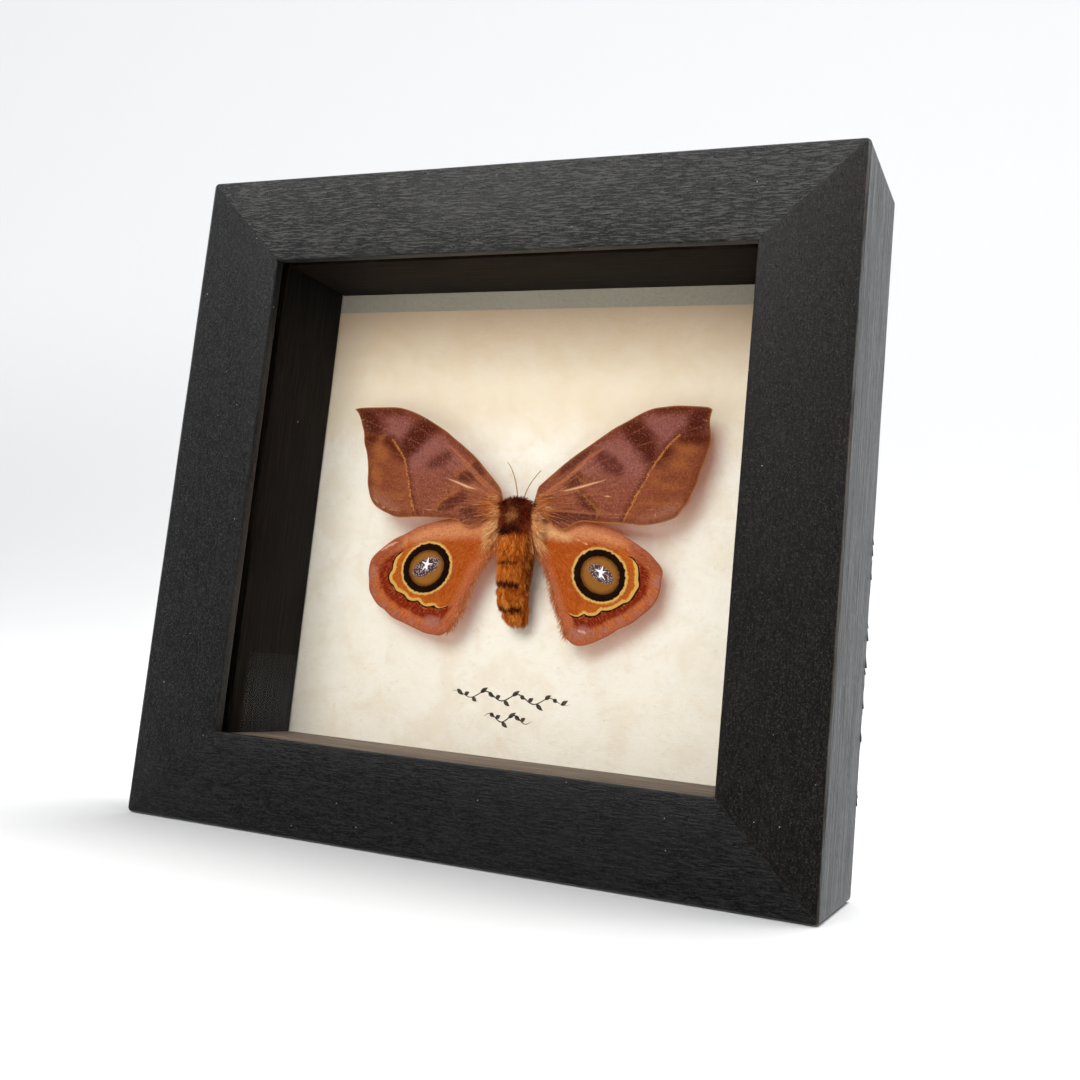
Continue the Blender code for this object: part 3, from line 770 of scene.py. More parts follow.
# forewings
forewing = {
    "depth": 20.2, "arch": 0.7, "span": 41, "droop": 0, "shift": 0, "waves": 0.1, "veinRoot": (5, 69.2),
    "veinWidth": 0.1,
    "veins": [  # where each fine vein bends and ends, on the right wing
        ((18, 80), (33, 88)), ((20, 78.6), (37.5, 85)), ((22, 75.4), (38, 81)), ((22, 73.5), (37, 77)),
        ((21, 71.5), (36, 73)), ((19, 69.5), (35, 69.5)), ((16, 67.5), (32, 66.6)),
    ],
    "pink": [(34, 69, 0.9), (31, 67.2, 1.2), (27.5, 66.2, 0.6)],
    "costaFrom": 69.5, "costaTo": 38.7,  # the front edge darkens from this height out to this width
    "left": {
        "outline": [
            (-40.9, 87.6, True), (-38.9, 87.9), (-35, 88), (-30.5, 88), (-28, 87.6), (-25.5, 86.85),
            (-22.5, 85.6), (-20, 84.3), (-17.5, 82.9), (-15.5, 81.5), (-13, 79.8), (-10, 77.5),
            (-7.5, 75.1), (-5, 72.6), (-3.8, 71.1), (-3.15, 69.3, True), (-3.6, 66.4, True), (-5, 65.4),
            (-7.1, 64.8), (-8, 63.9), (-9.9, 63.4), (-11.75, 63.7), (-13, 64.5), (-17, 64.7), (-22.5, 64.7),
            (-25, 64.5), (-27.4, 64.5), (-29.9, 65.3), (-31.4, 65.9), (-33, 66.8), (-34.25, 68.25),
            (-35, 70), (-35.5, 71.7), (-35.65, 73.9), (-36, 76.1), (-36.6, 78.25), (-37.4, 80.1),
            (-37.8, 82.3), (-38.6, 84.2), (-39.1, 85.4), (-40, 86.8)],
        "middle": (-19, 74),
        "root": (-2.5, 68),
        "line": [
            (-30.4, 81), (-29.6, 80.1), (-28, 78.25), (-26.9, 76.7), (-26, 74.2), (-25.2, 71.7),
            (-24.6, 69.5), (-23.8, 67.3), (-22.6, 65)],
        "outer": [
            (-30.2, 80.8), (-29.6, 80.1), (-28, 78.25), (-26.9, 76.7), (-26, 74.2), (-25.2, 71.7),
            (-24.6, 69.5), (-23.8, 67.3), (-22, 60), (-44, 60), (-44, 82.6), (-37, 82.6), (-33.5, 82)],
        "strokes": {  # points on each: X, Z and half the width there
            "dark": [
                [(-20.6, 84.7, 1.5), (-23.5, 82.7, 2.2), (-26, 80, 2.1), (-27.2, 78.2, 1.4)],
                [(-40.2, 87.4, 0.5), (-37.6, 86.2, 1.7), (-36, 84.2, 1.9), (-34.2, 82.9, 0.9)],
                [(-35, 87.5, 0.7), (-29, 87.2, 0.5)], [(-36.6, 80.8, 1.1), (-34.8, 81.4, 0.6)],
                [(-31.8, 80.9, 0.5), (-30.2, 79.6, 0.7), (-29.2, 78, 0.4)]],
            "wedge": [
                [(-12.6, 73.7, 0.8), (-11.2, 73.6, 1.1)], [(-9.6, 76, 0.8), (-8.4, 74.8, 0.5)],
                [(-17.2, 66.8, 0.5), (-14.6, 68, 0.9), (-12.2, 69.4, 0.8)],
                [(-11.5, 66.2, 0.9), (-8.5, 66.2, 0.9), (-6.2, 66.8, 0.5)]],
            "spot": [[(-20.2, 75.8, 0.8), (-18.3, 76.7, 1.3), (-16.4, 77.8, 0.8)]],
            "mauve": [
                [(-24.6, 75.6, 1), (-22.4, 78.6, 1.6), (-19, 80.6, 1.4), (-17.4, 80, 0.8)],
                [(-15.4, 76.5, 1.2), (-13.5, 76.2, 0.8)],
                [(-31, 85, 1.3), (-29.4, 83.6, 2.2), (-27, 82.8, 1.8)]],
            "ochre": [
                [(-33.6, 79, 1.1), (-32.6, 77.5, 1.4), (-31.6, 79, 0.6)],
                [(-33.8, 73.8, 1.4), (-32.4, 71.8, 0.6)],
                [(-35, 70.4, 0.6), (-30.5, 69, 0.35), (-26.5, 69, 0.3)],
                [(-36.4, 82.1, 0.35), (-33, 81.4, 0.5)],
                [(-14.1, 73.9, 0.35), (-12.5, 75.2, 0.4), (-11, 76.6, 0.3)],
                [(-18.1, 66.6, 0.4), (-17.7, 67.6, 0.45), (-16, 69, 0.3), (-13.4, 70.6, 0.35)],
                [(-36, 75.4, 0.9), (-34.8, 76.2, 0.5)]],
            "zigzag": [
                [(-11, 76.6, 0.12), (-12.5, 75.2, 0.2), (-14.1, 73.9, 0.2), (-13.6, 73.3, 0.1)],
                [(-13.4, 70.8, 0.15), (-16, 69, 0.2), (-17.9, 67.4, 0.25), (-18, 66.4, 0.25),
                 (-16.6, 65.6, 0.1)]],
            "pale": [
                [(-17, 73.4, -0.1), (-15.5, 72.8, 0.08), (-13.5, 72.2, 0.2), (-11.5, 71.5, 0.24),
                 (-9.8, 71.1, 0.1), (-8.6, 71, -0.1)],
                [(-38.8, 85.1, 0.14), (-37.2, 85.4, -0.05)], [(-5.2, 65.6, 0.1), (-3.9, 65, 0.1)]],
            "scratch": [
                [(-20.4, 68.7, -0.1), (-18.5, 68.4, 0.08), (-16.6, 68.5, -0.1)],
                [(-20, 69.6, -0.1), (-16.8, 70.4, 0.05)],
                [(-22.8, 66.6, -0.1), (-19.6, 66.3, 0.12), (-17, 66.6, -0.1)],
                [(-31.3, 66.4, 0), (-30.5, 66.4, 0.2)], [(-29.2, 66, 0.1), (-26.5, 65.8, 0)],
                [(-33.4, 68.4, 0.1), (-32.4, 67.4, 0.1)], [(-23.5, 68.9, -0.1), (-21, 68.3, 0.06)],
                [(-16, 74.2, -0.1), (-13.8, 75, 0)], [(-28.6, 68.3, 0), (-26, 68.2, 0.05)]],
            "vein": [
                [(-4.6, 70.2, 0.6), (-8, 72.5, 0.5), (-11.5, 75.6, 0.42), (-14.5, 78.3, 0.28),
                 (-17, 80.3, 0.08)],
                [(-4.4, 69.3, 0.6), (-8.5, 70.8, 0.4), (-11, 72, 0.1)]],
        },
    },
    "right": {
        "outline": [
            (39.4, 88.4, True), (38.6, 88.8), (35, 89), (32.5, 89), (30, 88.7), (27.5, 88.25), (25, 87.2),
            (22.5, 85.75), (20, 84.3), (17.5, 82.5), (15, 80.75), (12.5, 79), (10, 77), (7.5, 74.8),
            (5.6, 73.1), (4.5, 72), (4.1, 70.4), (3.8, 68.9, True), (4.1, 66.7, True), (5.9, 66.1),
            (7.8, 65), (8.75, 64.2), (10.3, 63.7), (12, 64), (13.1, 64.8), (15, 65.4), (17.5, 65.3),
            (20, 65.3), (22.5, 65.4), (25, 65.3), (27.5, 65.2), (30, 65.6), (32.5, 66.4), (34.1, 67.3),
            (35, 68.6), (36.1, 70.1), (37, 72.3), (37.7, 74.2), (38.1, 76.1), (38.75, 78.25), (39.2, 80.1),
            (39.6, 82), (39.4, 83.9), (39.1, 85.75), (39.1, 86.8)],
        "middle": (20, 75),
        "root": (3, 68.2),
        "line": [
            (33.4, 83.1), (33.1, 82.9), (31.6, 81.4), (30, 79.2), (28.1, 76.1), (26.9, 73.25),
            (25.6, 70.75), (24.7, 68.6), (23.7, 66.6), (23.4, 65.6)],
        "outer": [
            (33.1, 82.9), (31.6, 81.4), (30, 79.2), (28.1, 76.1), (26.9, 73.25), (25.6, 70.75),
            (24.7, 68.6), (23.7, 66.6), (23, 60), (44, 60), (44, 83.2), (37, 83.2)],
        "strokes": {  # points on each: X, Z and half the width there
            "dark": [
                [(22.2, 85.4, 1.1), (24, 84, 1.8), (25.8, 82.2, 2), (27.4, 79.9, 1.6), (28.2, 78.3, 1)],
                [(39.2, 88.2, 0.8), (37.6, 87.3, 1.6), (36.6, 85.4, 1.8), (35.6, 84, 0.9)],
                [(34, 88.7, 0.6), (29, 88.3, 0.4)], [(34, 82.4, 0.5), (36.5, 82.6, 0.8), (38.6, 82.4, 0.9)],
                [(31.4, 80.2, 0.6), (29.8, 77.6, 0.3)]],
            "wedge": [
                [(12.7, 73.9, 1.1), (11.6, 72.9, 0.8)],
                [(13.6, 70.8, 0.6), (15.2, 69.3, 0.9), (17, 67.9, 0.7)],
                [(6, 66.7, 0.5), (9, 66.1, 0.9), (12, 66.4, 1), (15.4, 66.2, 0.7)], [(17.6, 66.6, 0.7)],
                [(9.6, 75.6, 0.5), (12.4, 77.6, 0.5), (14.4, 79.2, 0.3)]],
            "spot": [[(17.7, 78.2, 1.3), (19.7, 77, 1.6), (21.3, 75.9, 1.2)]],
            "mauve": [
                [(17.8, 80.4, 1), (22.4, 79.6, 1.9), (24, 77.3, 1.6), (25, 75.5, 1)],
                [(14.6, 76.6, 1.1), (16, 75.4, 1)],
                [(27.5, 85.3, 1.6), (30.5, 84.8, 2.3), (31.2, 82.4, 0.9)], [(33.6, 86, 1.2)],
                [(33.6, 75, 0.9), (34.1, 73, 0.8), (32.8, 71.5, 0.5)]],
            "ochre": [
                [(34.3, 80.8, 1), (35.6, 80.4, 1.1)],
                [(33.3, 77.3, 0.9), (34.6, 77.2, 0.8), (34.2, 78.8, 0.4)],
                [(27, 69.5, 0.25), (31, 69.6, 0.35), (34.6, 69.7, 0.3)],
                [(12.4, 74.6, 0.3), (13.8, 73.6, 0.35), (15, 73, 0.2)],
                [(12.9, 71.6, 0.35), (14.4, 70.7, 0.35), (16.6, 69, 0.35), (18.1, 67.5, 0.45),
                 (17.8, 66, 0.4)],
                [(29.2, 73.6, 0.5), (33, 72.8, 0.4)]],
            "zigzag": [
                [(15, 73, 0.1), (13.8, 73.6, 0.2), (12.4, 74.6, 0.2), (12.2, 75.6, 0.1)],
                [(12.9, 71.8, 0.15), (14.4, 70.7, 0.2), (16.6, 69, 0.2), (18.1, 67.5, 0.25),
                 (17.8, 66, 0.2)]],
            "pale": [
                [(8.4, 71.2, -0.1), (11, 71.5, 0.14), (14, 72.3, 0.2), (16.5, 73.1, 0.16),
                 (18.5, 73.7, 0.06), (20.2, 74.6, -0.1)],
                [(18, 70.7, -0.1), (19.8, 70.6, 0.14), (20.8, 70.5, -0.05)],
                [(38.6, 86.1, 0.12), (37, 86.3, -0.05)]],
            "scratch": [
                [(33, 84.9, 0.14), (33.6, 84.3, 0)], [(33.9, 84, 0.12)], [(33.4, 85.6, 0.1)],
                [(34.3, 83.2, 0.05)], [(29.9, 67.4, 0.14), (30, 66.8, 0.1)], [(34.5, 69.3, 0.12)],
                [(31.6, 68.1, 0.1)], [(35.4, 87.6, 0.1)], [(20.2, 66.4, -0.05), (22.4, 66.5, 0.06)],
                [(27.8, 68.2, 0), (29.2, 68.4, 0.08)], [(33.4, 67.9, 0.1)],
                [(15, 70.9, -0.1), (17.6, 70.9, 0)], [(36.6, 84.4, 0.05)], [(32.2, 86.6, 0.05)]],
            "vein": [
                [(4.8, 69.4, 0.6), (8.2, 72, 0.52), (10.5, 73.7, 0.46), (13.2, 76.4, 0.42),
                 (15.8, 78.8, 0.32), (18, 80.1, 0.08)],
                [(5, 67.4, 0.3), (10, 67.3, 0.16), (18, 67, 0.13), (25, 67.3, 0.06)],
                [(6, 70.3, 0.3), (10, 71.5, 0.1)]],
        },
    },
}


def scaleMaterial(name, stir):
    material, tree = newMaterial(name, 0.75, Specular_IOR_Level=0.03)
    scales = useGroup(tree, scaleGroup, {"Vector": objectSpace(tree)})
    wobble = centred(tree, scales.outputs["Cloud"], stir)
    return material, tree, scales.outputs["Speck"], wobble, scales.outputs["Height"]


def lay(tree, colour, name, over, low, high, amount=1.0, stir=None):  # a marking over a wing's colour
    field = painted(tree, name)
    if stir is not None:
        field = plus(tree, field, stir)
    return blend(tree, rise(tree, field, low, high, amount), colour, over)


def makeForewingMaterial():
    material, tree, speck, wobble, rows = scaleMaterial("forewingScales", 1.6)
    streak = grainy(tree, paintedVector(tree, "fan"), 2.2, 3.0, 0.6)
    wobble = plus(tree, wobble, centred(tree, speck, 0.5))

    height = axis(tree, objectSpace(tree), 2)
    colour = blend(tree, rise(tree, height, 0.070, 0.077), tone(130, 70, 50), tone(132, 76, 62))
    colour = blend(tree, rise(tree, height, 0.079, 0.085), colour, tone(114, 60, 48))
    colour = lay(tree, colour, "costa", tone(126, 62, 44), -3.0, -0.8, 0.8)
    colour = lay(tree, colour, "mauve", tone(140, 86, 78), -0.9, 0.9, 0.65, stir=wobble)
    colour = blend(tree, fall(tree, painted(tree, "reach"), 7.0, 17.0, 0.85), colour, tone(136, 74, 48))
    colour = lay(tree, colour, "outer", tone(134, 72, 46), -0.3, 0.3, stir=wobble)
    colour = blend(tree, rise(tree, plus(tree, painted(tree, "outer"), wobble), 0.4, 3.6, 0.35), colour,
                   tone(112, 54, 34))
    colour = lay(tree, colour, "ochre", tone(162, 98, 46), -1.0, 0.9, 0.5, stir=wobble)
    colour = lay(tree, colour, "spot", tone(86, 38, 30), -1.1, 0.8, 0.85, stir=wobble)
    colour = lay(tree, colour, "wedge", tone(84, 38, 24), -1.0, 0.35, 0.92, stir=wobble)
    colour = lay(tree, colour, "dark", tone(74, 24, 10), -1.7, 0.9, 0.96, stir=wobble)
    colour = lay(tree, colour, "pink", tone(160, 104, 82), -1.6, 1.4, 0.7, stir=wobble)
    inner = times(tree, rise(tree, painted(tree, "line"), -1.3, -0.2, 0.7),
                 fall(tree, painted(tree, "outer"), -0.05, 0.15))
    colour = blend(tree, inner, colour, tone(92, 40, 24))
    ochreLine = plus(tree, painted(tree, "line"), centred(tree, speck, 0.9))
    colour = blend(tree, rise(tree, ochreLine, -0.10, 0.16, 0.85), colour, tone(182, 118, 56))
    bent = plus(tree, painted(tree, "zigzag"), centred(tree, speck, 0.8))
    colour = blend(tree, rise(tree, bent, -0.25, 0.25, 0.75), colour, tone(150, 92, 42))
    colour = blend(tree, fall(tree, painted(tree, "rim"), 0.15, 1.8, 0.55), colour, tone(98, 48, 28))
    colour = lay(tree, colour, "vein", tone(176, 106, 70), -0.3, 0.3, 0.6)
    colour = lay(tree, colour, "thin", tone(150, 84, 52), -0.16, 0.08, 0.3)
    near = fall(tree, painted(tree, "reach"), 4.0, 24.0)
    colour = blend(tree, times(tree, fall(tree, streak, 0.28, 0.50, 0.7), near), colour, tone(86, 36, 22))
    light = times(tree, rise(tree, streak, 0.52, 0.74, 0.42), near)
    colour = blend(tree, light, colour, tone(196, 128, 90))
    outward = rise(tree, painted(tree, "outer"), -0.3, 0.3)
    pale = blend(tree, outward, tone(212, 160, 146), tone(198, 134, 82))
    colour = blend(tree, fall(tree, speck, 0.30, 0.50, 0.42), colour, tone(74, 28, 16))
    colour = blend(tree, rise(tree, speck, 0.50, 0.80, 0.26), colour, pale)
    colour = blend(tree, fall(tree, painted(tree, "rim"), 0.04, 0.32, 0.75), colour, tone(172, 112, 56))
    colour = lay(tree, colour, "scratch", tone(206, 156, 130), -0.12, 0.14, 0.6)
    colour = lay(tree, colour, "pale", tone(214, 166, 120), -0.14, 0.16, 0.95)
    bump = plus(tree, rows, times(tree, streak, 0.5))
    return finishMaterial(material, colour, bump, 0.00006)


shineThrough = (0.52, 0.24, 0.12, 1)  # a little light comes through a wing and warms the shadow behind it
forewingScales = makeForewingMaterial()
letLightThrough(forewingScales, shineThrough)


def mirrored(points, sign):  # points of the right wing, or of the left one where sign is -1
    return [(sign * point[0], *point[1:]) for point in points]


def forewingFields(fields, marks, spots, fan, sign):
    veins = []
    for bend, end in forewing["veins"]:
        line = smoothLine(mirrored([forewing["veinRoot"], bend, end], sign), spacing=2.0)
        veins.append([(x, z, forewing["veinWidth"]) for x, z in line])
    costa = [point[:2] for point in marks["outline"] if point[1] > forewing["costaFrom"]
             and abs(point[0]) < forewing["costaTo"] and point[1] > 62 + abs(point[0]) * 0.62]
    fields["pink"] = strokeField(spots, [mirrored(forewing["pink"], sign)])
    fields["thin"] = strokeField(spots, veins)
    fields["line"] = 0.2 - lineField(spots, smoothLine(marks["line"]))
    fields["outer"] = insideField(spots, marks["outer"])
    fields["costa"] = -lineField(spots, np.array(costa))
    lift = 0.07 * np.clip(fields["vein"] / 0.4 + 0.6, 0, 1) + 0.03 * np.clip(fields["thin"] / 0.2 + 1, 0, 1)
    wave = np.sin(spots[:, 0] * 0.45 + spots[:, 1] * 0.3)
    return lift + forewing["waves"] * wave * np.clip(fields["reach"] / 20, 0, 1)


for side in ("left", "right"):
    makeWing("forewing", forewing, side, forewingScales, forewingFields)
print("forewings painted")


# hindwings, each with an eyespot
hindwing = {
    "depth": 21.05, "arch": 0.3, "droop": 0.5, "span": 34, "shift": -0.4,
    "goldWidth": ((0, 0.2, 0.5, 0.8, 1), (0.5, 0.85, 0.7, 0.6, 0.4)), "inkWidth": 0.32, "waves": 0.12,
    "left": {
        "outline": [
            (-3.6, 65, True), (-9, 66), (-15, 64.8), (-19.9, 63.6), (-22.5, 62.6), (-25, 61.2), (-27.5, 60),
            (-30, 58.25), (-31.75, 56.8), (-32.7, 55.75), (-33.2, 54.5), (-33.2, 52.6), (-32.8, 51.1),
            (-32.4, 49), (-31.3, 47.3), (-29.9, 45.9), (-28.3, 45.1), (-26.1, 43.7), (-23.6, 42.8),
            (-21.1, 42), (-19.25, 41.4), (-17.4, 40.9), (-15.5, 40.75), (-14.25, 40.75), (-13, 41.5),
            (-11.75, 42.9), (-10.8, 44.5), (-9.9, 46.1), (-9.6, 48.25), (-8.6, 50.75), (-7.7, 52.9),
            (-6.4, 54.8), (-5, 56.4), (-3.6, 58.25, True)],
        "middle": (-18, 54),
        "root": (-2, 65.5),
        "eye": ((-19.1, 54.3), (5.65, 5.05), 28),
        "disc": ((-19.1, 54.3), (4.1, 3.62), 28),
        "pupil": ((-19.25, 54.5), (3.6, 1.7), 29),
        "scallop": [
            (-24.6, 58), (-25.5, 57.3), (-26.75, 56.2), (-27.2, 54.8), (-27.2, 53.6, True), (-27.85, 52.2),
            (-27.4, 50.9), (-26.6, 50.3, True), (-25.8, 49.2), (-24.25, 48.7), (-23.6, 48.4, True),
            (-22.7, 47.6), (-21.4, 47.3), (-20.2, 47.5, True), (-19.25, 46.7), (-18, 46.4),
            (-16.4, 46.75, True), (-15.5, 46.2), (-13.9, 46.5), (-12.7, 47)],
        "close": [(-11.4, 48.25), (-9.5, 51.5), (-3, 58), (-2, 67), (-20, 67), (-24.3, 60.5)],
        "strokes": {  # points on each: X, Z and half the width there
            "spark": [
                [(-19.2, 54.7, 0.3), (-19, 55.4, 0.26), (-18.8, 56.6, 0.02)],
                [(-19.1, 55.1, 0.26), (-17.8, 55.3, 0.02)], [(-19.2, 54.7, 0.26), (-18.8, 53.5, 0.02)],
                [(-19.2, 54.8, 0.24), (-20.3, 53.6, 0.02)], [(-19.1, 55.1, 0.26), (-20.3, 55.6, 0.02)]],
            "lead": [
                [(-5, 63.4, 1.7), (-12, 63.4, 1.9), (-19, 62.1, 1.5), (-25, 60.1, 1), (-29, 58.2, 0.5)]],
            "cream": [[(-4.2, 64.2, 1), (-5.2, 62.6, 1), (-5.8, 60.4, 0.4)]],
            "fuzz": [
                [(-4.6, 59.5, 1.2), (-8, 54.5, 1.5), (-9.8, 49.5, 1.6), (-11.8, 45.3, 1.5),
                 (-14, 42.6, 1.3)]],
            "rose": [[(-26.5, 59.4, 0.7), (-30, 57.2, 1.2), (-32, 55.4, 1)]],
            "patch": [
                [(-31.1, 51.9, 0.5), (-30.2, 50, 0.4)], [(-29.4, 48.5, 0.8), (-28.4, 47.4, 0.6)],
                [(-26.9, 46.3, 0.7), (-25.6, 45.9, 0.6)], [(-23.5, 44.9, 0.6), (-22.2, 44.5, 0.7)],
                [(-20.2, 43.7, 0.5), (-19, 43.5, 0.4)]],
            "mauve": [
                [(-31.9, 53.5, 0.6), (-32.1, 51.2, 0.4)], [(-31.2, 48.4, 0.6)], [(-28.6, 45.9, 0.6)],
                [(-25.2, 44.3, 0.5)], [(-21.2, 43.2, 0.5)], [(-17.4, 43.4, 1.1), (-15.4, 43.6, 0.9)]],
            "pale": [
                [(-31, 57.3, 0.05), (-29.6, 58.1, 0.32), (-27.9, 58.9, 0.24), (-26.4, 59.6, 0.03)],
                [(-31.4, 56, 0.1)], [(-30.4, 56.4, 0.08)]],
        },
    },
    "right": {
        "outline": [
            (4.3, 65.2, True), (9, 66.2), (16, 65.7), (21.9, 64), (23.75, 63.1), (25.6, 62.2), (27.5, 61.1),
            (29.1, 60.1), (30.6, 58.7), (31.7, 57.5), (32.1, 56.5), (31.9, 55.1), (31.9, 53.6),
            (31.6, 51.7), (30.8, 50.1), (29.7, 48.9), (28.1, 47.5), (26.6, 46.2), (24.4, 45), (22.5, 43.7),
            (20.3, 42.5), (18.75, 41.7), (17.2, 41.2), (15.6, 41.2), (14.4, 41.8), (13.3, 42.9),
            (12.7, 44.3), (12.2, 45.75), (10.9, 47.6), (10.2, 49.8), (9.7, 51.7), (8.75, 53.9), (7.5, 56.1),
            (6.1, 58.25), (5.2, 59.8), (4.7, 61.4, True)],
        "middle": (18.5, 54.5),
        "root": (2.8, 65.5),
        "eye": ((19.4, 55.1), (5.6, 4.98), -28),
        "disc": ((19.5, 55.15), (4.2, 3.55), -28),
        "pupil": ((19.7, 55.4), (3.2, 1.6), -28),
        "scallop": [
            (24.9, 59.2), (25.9, 58.7), (26.9, 57.6), (27.3, 56.1), (27.4, 54.8, True), (27.7, 53.6),
            (27.2, 52.5), (26.6, 51.4), (25.8, 50.4), (24.7, 50, True), (23.1, 48.9), (21.9, 48.4),
            (20.6, 48.3, True), (19.4, 47.3), (17.8, 47.1), (16.9, 47.4, True), (15.6, 46.7), (14.1, 47),
            (12.8, 47.8)],
        "close": [(11.9, 50.1), (9.5, 54), (4, 60), (3, 67), (21, 67), (24.6, 61)],
        "strokes": {  # points on each: X, Z and half the width there
            "spark": [
                [(19.6, 55.2, 0.3), (19.7, 55.9, 0.28), (20, 57, 0.02)],
                [(19.6, 55.8, 0.28), (18.1, 56.4, 0.02)], [(19.6, 55.3, 0.26), (20.7, 54.3, 0.02)],
                [(19.6, 55.3, 0.24), (19, 54.1, 0.02)], [(19.6, 55.6, 0.26), (20.7, 56, 0.02)]],
            "lead": [[(6, 63.8, 1.3), (12, 63.8, 1.6), (18, 63.8, 1.5), (23, 62.3, 1), (27, 60.8, 0.7)]],
            "cream": [[(4.8, 64.2, 0.9), (6.2, 63.2, 0.7), (9, 62.9, 0.3), (12, 62.3, 0.1)]],
            "fuzz": [
                [(5.4, 59.8, 0.8), (8.2, 54.6, 1.1), (10.4, 50, 1.2), (12.2, 46, 1.2), (14.4, 43, 1.2)]],
            "rose": [[(26, 60.8, 0.8), (29.2, 58.9, 1.1), (31.2, 57, 0.8)]],
            "patch": [
                [(31, 53, 0.5), (30.2, 51.8, 0.4)], [(28.8, 50, 0.7), (27.6, 49, 0.7)],
                [(26, 47.8, 0.5), (25.2, 47.3, 0.4)], [(23.2, 46.2, 0.5), (22, 45.6, 0.5)],
                [(20, 44.8, 0.4)]],
            "mauve": [
                [(31.2, 55, 0.6), (31, 53.9, 0.4)], [(30.2, 50.9, 0.5)], [(28, 48.3, 0.5)],
                [(24.4, 46.5, 0.6)], [(21.5, 44.6, 0.5)],
                [(18.8, 44, 0.6), (17, 43.9, 1.2), (15.6, 43.4, 0.9)]],
            "pale": [
                [(16.2, 44, 0.3), (17.4, 43.8, 0.25)], [(30.9, 57.6, 0.08)],
                [(13, 62.3, 0.04), (16.4, 61, 0.12)]],
        },
    },
}


def makeHindwingMaterial():
    material, tree, speck, wobble, rows = scaleMaterial("hindwingScales", 1.2)
    fan = paintedVector(tree, "fan")
    streak = grainy(tree, fan, 3.4, 3.0, 0.6)
    fine = grainy(tree, fan, 9.0, 2.0, 0.6)
    ragged = centred(tree, grainy(tree, objectSpace(tree), 1500.0, 3.0), 0.8)

    colour = blend(tree, rise(tree, streak, 0.35, 0.70), tone(156, 64, 12), tone(172, 82, 24))
    colour = lay(tree, colour, "fuzz", tone(178, 96, 54), -1.2, 1.0, 0.85, stir=wobble)
    side = painted(tree, "side")
    outside = times(tree, side, -1.0)
    colour = blend(tree, rise(tree, outside, -0.6, 0.6), colour, tone(176, 94, 56))
    redBand = times(tree, rise(tree, plus(tree, outside, wobble), 0.1, 0.5),
                   rise(tree, plus(tree, painted(tree, "rim"), wobble), 1.9, 2.9))
    redBand = times(tree, redBand, painted(tree, "redness"))
    colour = blend(tree, redBand, colour, tone(120, 28, 8))
    colour = lay(tree, colour, "lead", tone(206, 134, 90), -1.7, 1.0, 0.95, stir=wobble)
    colour = lay(tree, colour, "rose", tone(146, 68, 40), -1.2, 0.9, 0.9, stir=wobble)
    colour = lay(tree, colour, "patch", tone(186, 98, 46), -0.5, 0.4, 0.85, stir=wobble)
    colour = blend(tree, fall(tree, plus(tree, painted(tree, "rim"), wobble), 0.5, 1.9, 0.7), colour,
                   tone(164, 88, 62))
    colour = lay(tree, colour, "mauve", tone(160, 104, 90), -0.7, 0.6, 0.85, stir=wobble)
    colour = lay(tree, colour, "cream", tone(222, 172, 118), -1.6, 0.8, 0.9, stir=wobble)
    ring = painted(tree, "eye")
    orange = times(tree, fall(tree, ring, 8.6, 9.6), rise(tree, side, -0.1, 0.3))
    orange = times(tree, orange, rise(tree, painted(tree, "halo"), -3.2, -0.5))
    colour = blend(tree, orange, colour, tone(178, 88, 20))
    colour = blend(tree, rise(tree, fine, 0.50, 0.72, 0.32), colour, tone(206, 134, 80))
    colour = blend(tree, fall(tree, fine, 0.28, 0.50, 0.45), colour, tone(116, 44, 14))
    colour = blend(tree, fall(tree, speck, 0.30, 0.48, 0.35), colour, tone(92, 34, 12))
    colour = blend(tree, rise(tree, speck, 0.56, 0.74, 0.30), colour, tone(220, 150, 104))
    gold = rise(tree, plus(tree, painted(tree, "gold"), ragged), -0.14, 0.16, 0.92)
    colour = blend(tree, times(tree, gold, rise(tree, side, -0.02, 0.06)), colour, tone(212, 166, 84))
    inked = rise(tree, plus(tree, painted(tree, "ink"), ragged), -0.10, 0.08)
    colour = blend(tree, times(tree, inked, fall(tree, side, 0.0, 0.10)), colour, tone(40, 18, 6))
    edge = plus(tree, ring, ragged)
    colour = blend(tree, fall(tree, edge, 5.58, 6.0, 0.92), colour, tone(214, 170, 92))
    colour = blend(tree, fall(tree, edge, 5.25, 5.42), colour, tone(24, 10, 4))
    disc = plus(tree, painted(tree, "disc"), times(tree, ragged, 0.6))
    brown = blend(tree, rise(tree, disc, 3.0, 3.85), tone(142, 92, 36), tone(100, 58, 22))
    brown = blend(tree, rise(tree, speck, 0.54, 0.76, 0.25), brown, tone(176, 128, 74))
    colour = blend(tree, fall(tree, disc, 3.82, 3.98), colour, brown)
    sparks = place(tree, "ShaderNodeTexVoronoi", {"Vector": objectSpace(tree), "Scale": 3400.0})
    lit = fall(tree, sparks.outputs["Distance"], 0.20, 0.46)
    violet = blend(tree, lit, tone(60, 42, 48), tone(206, 194, 202))
    colour = blend(tree, fall(tree, plus(tree, painted(tree, "pupil"), times(tree, ragged, 0.5)),
                              0.82, 1.02, 0.92), colour, violet)
    colour = blend(tree, rise(tree, painted(tree, "spark"), -0.08, 0.05), colour, tone(252, 250, 252))
    scuffed = rise(tree, plus(tree, painted(tree, "pale"), ragged), -0.12, 0.12, 0.7)
    colour = blend(tree, scuffed, colour, tone(222, 160, 132))
    colour = blend(tree, fall(tree, painted(tree, "rim"), 0.05, 0.4, 0.6), colour, tone(140, 72, 44))
    bump = plus(tree, rows, times(tree, fine, 0.8))
    return finishMaterial(material, colour, bump, 0.00007)


hindwingScales = makeHindwingMaterial()
letLightThrough(hindwingScales, shineThrough)


